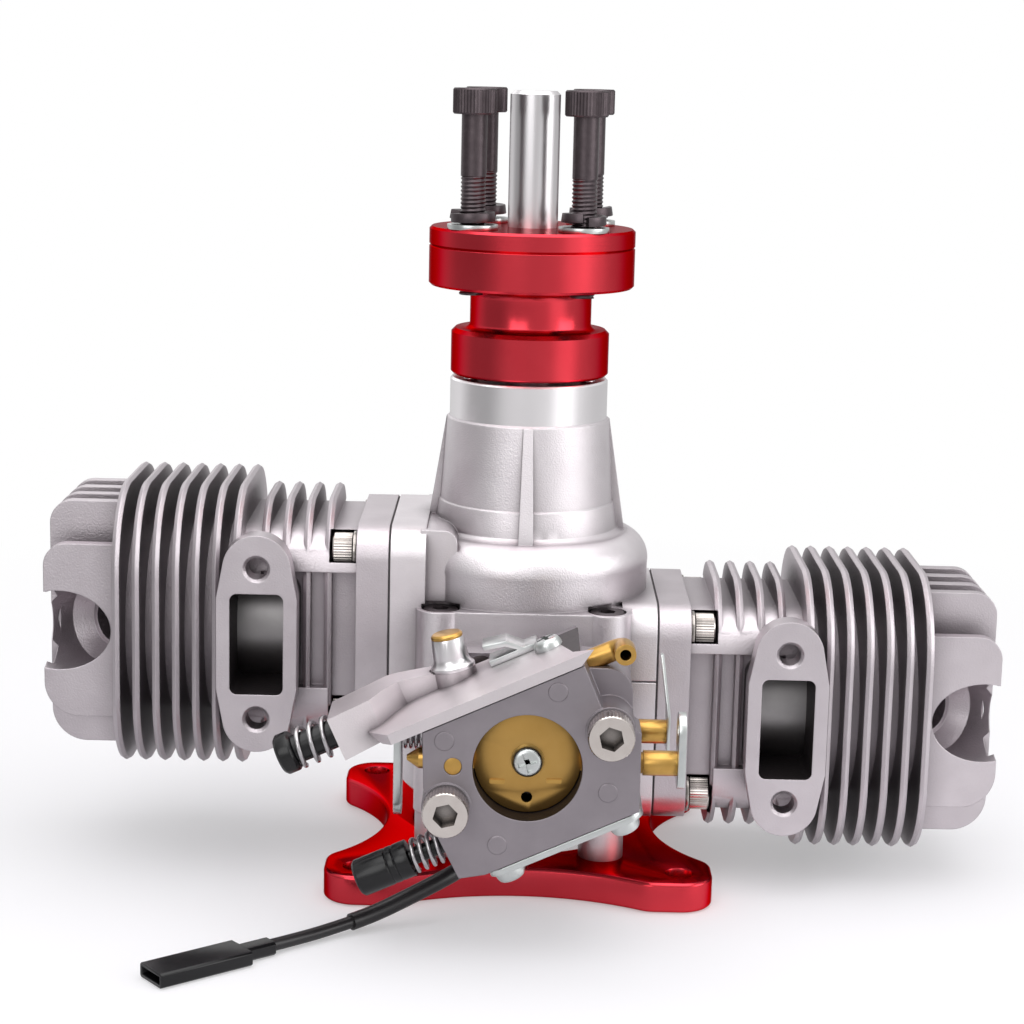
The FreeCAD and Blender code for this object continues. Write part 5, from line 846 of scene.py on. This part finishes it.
class ENGINE_OT_stage(bpy.types.Operator):
    """Set up the camera, the pale floor, the lamps and the white background"""
    bl_idname = "engine.stage"
    bl_label = "Stage"

    def execute(self, context):
        scene = context.scene
        scene.view_settings.view_transform = "Standard"
        camera = placed("camera", bpy.data.cameras.new("camera"))
        columns = [CAMERA_RIGHT, CAMERA_UP, tuple(-c for c in CAMERA_FORWARD)]
        turn = Matrix([[columns[j][i] for j in range(3)] for i in range(3)]).to_quaternion()
        camera.rotation_mode = "QUATERNION"
        camera.rotation_quaternion = turn
        camera.location = Vector(CAMERA_PLACE) * MM
        camera.data.sensor_width = SENSOR_WIDTH
        camera.data.lens = CAMERA_LENS
        camera.data.clip_start = 0.02
        camera.data.clip_end = 20.0
        scene.camera = camera
        self.floor(scene)
        key, fill = scene.engine_stage.key, scene.engine_stage.fill
        self.lamp("lamp_above", (0.0, -0.12, 0.75), (0, 0, 0.04), 0.9, key)
        self.lamp("lamp_front", (-0.35, -0.85, 0.42), (0, 0, 0.07), 0.55, fill)
        self.lamp("lamp_side", (0.75, -0.25, 0.35), (0, 0, 0.06), 0.5, fill * 0.95)
        self.lamp("lamp_back", (-0.3, 0.8, 0.5), (0, 0, 0.06), 0.5, fill * 0.25)
        self.background(scene)
        return {"FINISHED"}

    def lamp(self, name, place, target, size, power):
        """A square soft lamp that faces a point."""
        data = bpy.data.lights.new(name, "AREA")
        data.energy = power
        data.size = size
        lamp = placed(name, data)
        lamp.location = place
        lamp.rotation_euler = (Vector(target) - Vector(place)).to_track_quat("-Z", "Y").to_euler()

    def floor(self, scene):
        """A wide pale floor that turns white away from the engine."""
        mesh = bpy.data.meshes.new("floor")
        reach = 6.0
        mesh.from_pydata([(-reach, -reach, 0), (reach, -reach, 0), (reach, reach, 0), (-reach, reach, 0)], [],
                         [(0, 1, 2, 3)])
        material = bpy.data.materials.new("pale_floor")
        tree = emptied(material)
        shade = add(tree, "ShaderNodeBsdfDiffuse", {"Color": (*scene.engine_stage.floor, 1)})
        ray = add(tree, "ShaderNodeLightPath").node.outputs
        mirrored = studio(tree, object_place(tree))
        level = add(tree, "ShaderNodeMix", {"Factor": ray["Is Glossy Ray"], 2: 1.0, 3: mirrored},
                    data_type="FLOAT")
        white = add(tree, "ShaderNodeEmission", {"Color": (1, 1, 1, 1), "Strength": level})
        far = add(tree, "ShaderNodeVectorMath", {0: object_place(tree)},
                  operation="LENGTH").node.outputs["Value"]
        fade = add(tree, "ShaderNodeMapRange",
                   {"Value": far, "From Min": 0.06, "From Max": 0.34, "To Min": 0.35})
        seen = add(tree, "ShaderNodeMath", {0: ray["Is Camera Ray"], 1: ray["Is Glossy Ray"]},
                   operation="MAXIMUM")
        seen = add(tree, "ShaderNodeMath", {0: seen, 1: ray["Is Transmission Ray"]}, operation="MAXIMUM")
        part = add(tree, "ShaderNodeMath", {0: fade, 1: seen}, operation="MULTIPLY")
        mix = add(tree, "ShaderNodeMixShader", {0: part, 1: shade, 2: white})
        add(tree, "ShaderNodeOutputMaterial", {"Surface": mix})
        mesh.materials.append(material)
        floor = placed("floor", mesh)
        floor.location = (0, 0, FLOOR_DROP * -MM)

    def background(self, scene):
        """A world that shows white, and lights the engine with soft grey."""
        scene.world = bpy.data.worlds.new("studio")
        tree = emptied(scene.world)
        ray = add(tree, "ShaderNodeLightPath").node.outputs
        seen = add(tree, "ShaderNodeMath", {0: ray["Is Camera Ray"], 1: ray["Is Transmission Ray"]},
                   operation="MAXIMUM")
        white = add(tree, "ShaderNodeBackground", {"Color": (1, 1, 1, 1), "Strength": 1.0})
        soft = add(tree, "ShaderNodeBackground", {"Color": (1, 1, 1, 1), "Strength": 0.45})
        place = add(tree, "ShaderNodeTexCoord").node.outputs["Generated"]
        height = add(tree, "ShaderNodeSeparateXYZ", {0: place}).node.outputs[2]
        high = add(tree, "ShaderNodeMapRange", {"Value": height, "From Min": 0.2, "From Max": 0.8})
        level = add(tree, "ShaderNodeMix", {"Factor": high, 2: studio(tree, place), 3: 1.0},
                    data_type="FLOAT")
        mirror = add(tree, "ShaderNodeBackground", {"Color": (1, 1, 1, 1), "Strength": level})
        glossy = add(tree, "ShaderNodeMixShader", {0: ray["Is Glossy Ray"], 1: soft, 2: mirror})
        mix = add(tree, "ShaderNodeMixShader", {0: seen, 1: glossy, 2: white})
        add(tree, "ShaderNodeOutputWorld", {"Surface": mix})


class ENGINE_OT_lead(bpy.types.Operator):
    """Lay the sensor lead on its route, with its sleeve and plug"""
    bl_idname = "engine.lead"
    bl_label = "Sensor lead"

    def execute(self, context):
        line = self.route("sensor_lead_cord", LEAD_ROUTE, LEAD_D / 2)
        line.data.materials.append(finish("lead_jacket"))
        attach(line, "engine_case")
        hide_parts("sensor_lead")
        plug = piece("lead_plug_housing", softened("lead_plug", 0.16), "engine_case", "black_plastic",
                     "lead_plug")
        points = [Vector(point) for point in LEAD_ROUTE]
        covered = [(points[12] + points[13]) / 2, *points[13:16], (points[15] + points[16]) / 2]
        tube = self.route("helper", covered, SLEEVE_D / 2)
        sleeve = piece("lead_sleeve", plain(tube), "engine_case", "lead_jacket")
        return {"FINISHED"}

    def route(self, name, points, radius):
        """One smooth open curve through the route, as thick as the lead."""
        curve = bpy.data.curves.new(name, "CURVE")
        curve.dimensions = "3D"
        curve.bevel_depth = radius * MM
        curve.bevel_resolution = 6
        curve.resolution_u = 8
        curve.use_fill_caps = True
        spline = curve.splines.new("NURBS")
        spline.points.add(len(points) - 1)
        for knot, point in zip(spline.points, points):
            knot.co = (*(c * MM for c in point), 1)
        spline.order_u = 3
        spline.use_endpoint_u = True
        return placed(name, curve)


class ENGINE_OT_castings(bpy.types.Operator):
    """Finish the crankcase and the two cylinders as blasted castings"""
    bl_idname = "engine.castings"
    bl_label = "Castings"

    def execute(self, context):
        for node, finish_name in (("crankcase_front", "blasted_aluminium"),
                                  ("crankcase_rear", "blasted_aluminium"),
                                  ("cylinder_left", "cast_aluminium"), ("cylinder_right", "cast_aluminium")):
            casting = piece(node + "_casting", softened(node, 0.0), "engine_case", finish_name, node)
            for other in ("machined_aluminium", "painted_hollow_shade", "milled_aluminium"):
                casting.data.materials.append(finish(other))
            for face in casting.data.polygons:
                place = face.center / MM
                if place.z > NOSE_RING_Z:
                    face.material_index = 1
                # Exhaust port walls take the rough finish painted near black as shade
                elif node.startswith("cylinder") and in_port(place):
                    face.material_index = 2
                elif node.startswith("cylinder") and on_flange(place, face.normal):
                    face.material_index = 3
        return {"FINISHED"}


class ENGINE_OT_red_parts(bpy.types.Operator):
    """Finish the red mount plate, propeller hub and propeller washer"""
    bl_idname = "engine.red_parts"
    bl_label = "Red parts"

    def execute(self, context):
        piece("mount_plate_red", softened("mount_plate", 0.2), "engine_case", "red_anodised", "mount_plate")
        piece("prop_hub_red", softened("prop_hub", 0.0), "crank", "red_anodised", "prop_hub")
        piece("prop_washer_red", softened("prop_washer", 0.0), "crank", "red_anodised", "prop_washer")
        shaft = turned(SHAFT_PROFILE, (0, 0, 0))
        piece("prop_shaft_ground", shaft, "crank", "polished_steel", "prop_shaft")
        return {"FINISHED"}


class ENGINE_OT_socket_screws(bpy.types.Operator):
    """Make every socket head screw with its knurled head, hexagon and thread"""
    bl_idname = "engine.socket_screws"
    bl_label = "Socket screws"

    def execute(self, context):
        sizes = context.scene.engine_sizes
        rows = (
            ("prop_bolts", "crank", upward, M5, "black_oxide", 0.11, (0.2, 0.9, 0.5, 0.0)),
            ("case_bolts", "engine_case", upward, M4, "black_oxide", 0.0, (0.3, 0.7)),
            ("carb_bolts", "engine_case", forward, M5, "nickel_plate", 0.0, (0.25, 0.75)),
            ("cylinder_bolts", "engine_case", outward, M4, "nickel_plate", 0.0, (0.1, 0.6, 0.9)))
        for node, body, axis_of, size, finish_name, depth, turns in rows:
            spots = tops(node, axis_of)
            length = spots[0][2] - size[2] * MM
            rings = round(length / (sizes.thread * MM) * 6) if depth else 1
            mesh = scattered(socket_screw_tree, spots, {
                "Shank Radius": size[0] * MM, "Head Radius": size[1] * MM, "Head Height": size[2] * MM,
                "Key Radius": size[3] / sqrt(3) * MM, "Length": length, "Plain Length": sizes.plain * MM,
                "Thread Pitch": sizes.thread * MM, "Thread Depth": depth * 2, "Thread Rings": rings,
                "Knurls": sizes.knurls, "Knurl Depth": KNURL_DEPTH}, finish_name, turns)
            piece(node + "_made", mesh, body, finish_name, node)
        return {"FINISHED"}


class ENGINE_OT_small_screws(bpy.types.Operator):
    """Make the pan head screws of the covers, the nose and the choke"""
    bl_idname = "engine.small_screws"
    bl_label = "Small screws"

    def execute(self, context):
        up = carb_direction(0, 1)
        rows = (
            ("carb_cover_screws", "engine_case", off_carburettor, ((up, 2.7, 1.9), (-up, 2.9, 2.2)), 1.5,
             "zinc_plate"),
            ("nose_screws", "engine_case", off_nose, ((Z, 1.5, 0.4), (Y, 2.2, 1.3)), 1.0, "bearing_steel"),
            ("choke_screw", "choke", forward, ((-Y, 3.0, 1.8),), 1.25, "zinc_plate"))
        for node, body, axis_of, heads, shank_r, finish_name in rows:
            spots = tops(node, axis_of)
            meshes = []
            for way, r, h in heads:
                group = [s for s in spots if s[1].dot(way) > 0.9]
                meshes.append(scattered(pan_screw_tree, group, {
                    "Head Radius": r * MM, "Head Height": h * MM, "Shank Radius": shank_r * MM,
                    "Length": group[0][2] - h * MM, "Slot Width": r * 0.3 * MM, "Slot Reach": r * 1.2 * MM},
                    finish_name, (0.3, 0.8, 1.2)))
            piece(node + "_made", joined(meshes), body, finish_name, node)
        return {"FINISHED"}


class ENGINE_OT_washers(bpy.types.Operator):
    """Make the plain and the spring washers"""
    bl_idname = "engine.washers"
    bl_label = "Washers"

    def execute(self, context):
        rows = (
            ("prop_plain_washers", "crank", upward, 2.55, 5.0, 1.0, 0, "zinc_plate"),
            ("prop_spring_washers", "crank", upward, 2.55, 4.4, 1.8, 14, "black_oxide"),
            ("cylinder_washers", "engine_case", outward, 2.05, 3.9, 0.8, 0, "nickel_plate"))
        for node, body, axis_of, inner, outer, thick, gap, finish_name in rows:
            closed = gap == 0
            mesh = scattered(washer_tree, tops(node, axis_of), {
                "Mean Radius": (inner + outer) / 2 * MM, "Width": (outer - inner) * MM,
                "Thickness": thick * MM, "Sweep": radians(360 * 63 / 64 if closed else 360 - gap),
                "Rise": 0.0 if closed else SPRING_WASHER_RISE * MM, "Closed": closed},
                finish_name, (0.6, 2.0, 3.4, 4.9))
            piece(node + "_made", mesh, body, finish_name, node)
        return {"FINISHED"}


class ENGINE_OT_springs(bpy.types.Operator):
    """Wind the adjuster springs and the throttle return spring"""
    bl_idname = "engine.springs"
    bl_label = "Springs"

    def execute(self, context):
        along = carb_direction(1, 0)
        coils = [self.coil(carb_point(*IDLE_SPRING_PLACE), along, IDLE_SPRING),
                 self.coil(carb_point(*MIXTURE_SPRING_PLACE), along, MIXTURE_SPRING)]
        piece("adjuster_springs_made", joined(coils), "engine_case", "spring_steel", "adjuster_springs")
        back = self.coil(Vector(RETURN_SPRING_PLACE), X, RETURN_SPRING)
        piece("return_spring_made", back, "engine_case", "spring_steel", "return_spring")
        return {"FINISHED"}

    def coil(self, place, axis, spring):
        """One spring from its place in millimetres and its mean radius, wire radius, length and turns."""
        mean, wire, length, turns = spring
        return scattered(coil_tree, [(place * MM, axis, 0)], {
            "Mean Radius": mean * MM, "Wire Radius": wire * MM, "Height": length * MM, "Turns": turns},
            "spring_steel")


class ENGINE_OT_carburettor(bpy.types.Operator):
    """Finish the carburettor casting, its covers and the fittings on them"""
    bl_idname = "engine.carburettor"
    bl_label = "Carburettor"

    def execute(self, context):
        rows = (
            ("carb_body", 0.0, "engine_case", "carb_casting"),
            ("pump_cover", 0.0, "engine_case", "satin_aluminium"),
            ("metering_cover", 0.2, "engine_case", "zinc_plate"),
            ("fuel_elbow", 0.08, "engine_case", "brass"),
            ("linkage_bracket", 0.15, "engine_case", "zinc_plate"),
            ("pump_post", 0.08, "engine_case", "polished_steel"),
            ("brass_caps", 0.1, "engine_case", "brass"),
            ("carb_gaskets", 0.0, "engine_case", "gasket_paper"),
            ("choke_shaft", 0.08, "choke", "brass"),
            ("choke_disc", 0.08, "choke", "bright_disc"),
            ("choke_lever", 0.12, "choke", "zinc_plate"),
            ("throttle_shaft", 0.08, "throttle", "brass"),
            ("throttle_disc", 0.08, "throttle", "bright_disc"),
            ("throttle_lever", 0.12, "throttle", "zinc_plate"),
            ("throttle_arm", 0.1, "throttle", "zinc_plate"),
            ("idle_screw", 0.12, "idle_adjuster", "black_plastic"),
            ("mixture_screw", 0.1, "mixture_adjuster", "black_plastic"))
        for node, edge, body, finish_name in rows:
            made = piece(node + "_finished", softened(node, edge), body, finish_name, node)
            if node == "carb_body":
                # The bore walls take the rough finish painted near black as shade, so the gap round the choke
                # disc reads as a shadow
                made.data.materials.append(finish("painted_hollow_shade"))
                for face in made.data.polygons:
                    out = face.center / MM - Vector((CARB_X, face.center.y / MM, CARB_Z))
                    face.material_index = out.length < CARB_BORE_R + 0.2 and abs(face.normal.y) < 0.5
        mark = context.scene.engine_sizes.mark
        profile = [(0, -0.2), (mark, -0.2), (mark, 0.05), (mark - 0.12, 0.16), (0, 0.16)]
        marks = [turned(profile, carb_point(u, v, CARB_FACE_Y), -Y, 48) for u, v in CAST_MARKS]
        piece("carb_cast_marks", joined(marks), "engine_case", "carb_casting")
        dashes = [self.dash(carb_point(u, v, DISC_FACE_Y) * MM) for u, v in DISC_DASHES]
        piece("choke_disc_dashes", joined(dashes), "choke", "brass")
        return {"FINISHED"}

    def dash(self, place):
        """A short embossed bar that lies level on the choke disc."""
        work = bmesh.new()
        size = Matrix.Diagonal((*(side * MM for side in DASH_SIZE), 1))
        bmesh.ops.create_cube(work, size=1.0, matrix=Matrix.Translation(place) @ size)
        bmesh.ops.bevel(work, geom=work.edges[:], offset=0.12 * MM, segments=2, affect="EDGES")
        return made_mesh(work, "dash")


class ENGINE_OT_inner_parts(bpy.types.Operator):
    """Give the remaining CAD nodes their finishes"""
    bl_idname = "engine.inner_parts"
    bl_label = "Inner parts"

    def execute(self, context):
        rows = {
            "satin_aluminium": ("standoffs",),
            "nickel_plate": ("countersunk_screws",),
            "gasket_paper": ("case_gaskets",),
            "bearing_steel": ("bearing_outer_rings", "bearing_inner_rings", "crankshaft",
                              "connecting_rod_left", "connecting_rod_right", "running_pins_left",
                              "running_pins_right", "piston_ring_left", "piston_ring_right", "reed_petals"),
            "seal_rubber": ("crank_seal",),
            "black_plastic": ("ignition_sensor",),
            "machined_aluminium": ("reed_block",),
            "blasted_aluminium": ("insulator",),
            "magnet_metal": ("hub_magnet",),
            "piston_alloy": ("piston_left", "piston_right")}
        for finish_name, nodes in rows.items():
            for node in nodes:
                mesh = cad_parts[node].data
                mesh.materials.clear()
                mesh.materials.append(finish(finish_name))
        return {"FINISHED"}


class ENGINE_PT_panel(bpy.types.Panel):
    """Buttons that build each part of the engine"""
    bl_idname = "ENGINE_PT_panel"
    bl_label = "Flat twin engine"
    bl_space_type = "VIEW_3D"
    bl_region_type = "UI"
    bl_category = "Engine"

    def draw(self, context):
        for group in (context.scene.engine_sizes, context.scene.engine_stage):
            for name in group.__annotations__:
                self.layout.prop(group, name)
        for operator in STEPS:
            self.layout.operator(operator.bl_idname)


STEPS = (ENGINE_OT_stage, ENGINE_OT_lead, ENGINE_OT_castings, ENGINE_OT_red_parts, ENGINE_OT_socket_screws,
         ENGINE_OT_small_screws, ENGINE_OT_washers, ENGINE_OT_springs, ENGINE_OT_carburettor,
         ENGINE_OT_inner_parts)
CLASSES = (EngineSizes, EngineStage, *STEPS, ENGINE_PT_panel)


def register():
    """Adds the classes and their settings."""
    for item in CLASSES:
        bpy.utils.register_class(item)
    bpy.types.Scene.engine_sizes = bpy.props.PointerProperty(type=EngineSizes)
    bpy.types.Scene.engine_stage = bpy.props.PointerProperty(type=EngineStage)


def unregister():
    """Takes the classes and their settings away."""
    del bpy.types.Scene.engine_sizes
    del bpy.types.Scene.engine_stage
    for item in reversed(CLASSES):
        bpy.utils.unregister_class(item)


def main():
    """Builds the whole engine."""
    register()
    for step in STEPS:
        getattr(bpy.ops.engine, step.bl_idname.split(".")[1])()


if __name__ == "__main__":
    main()
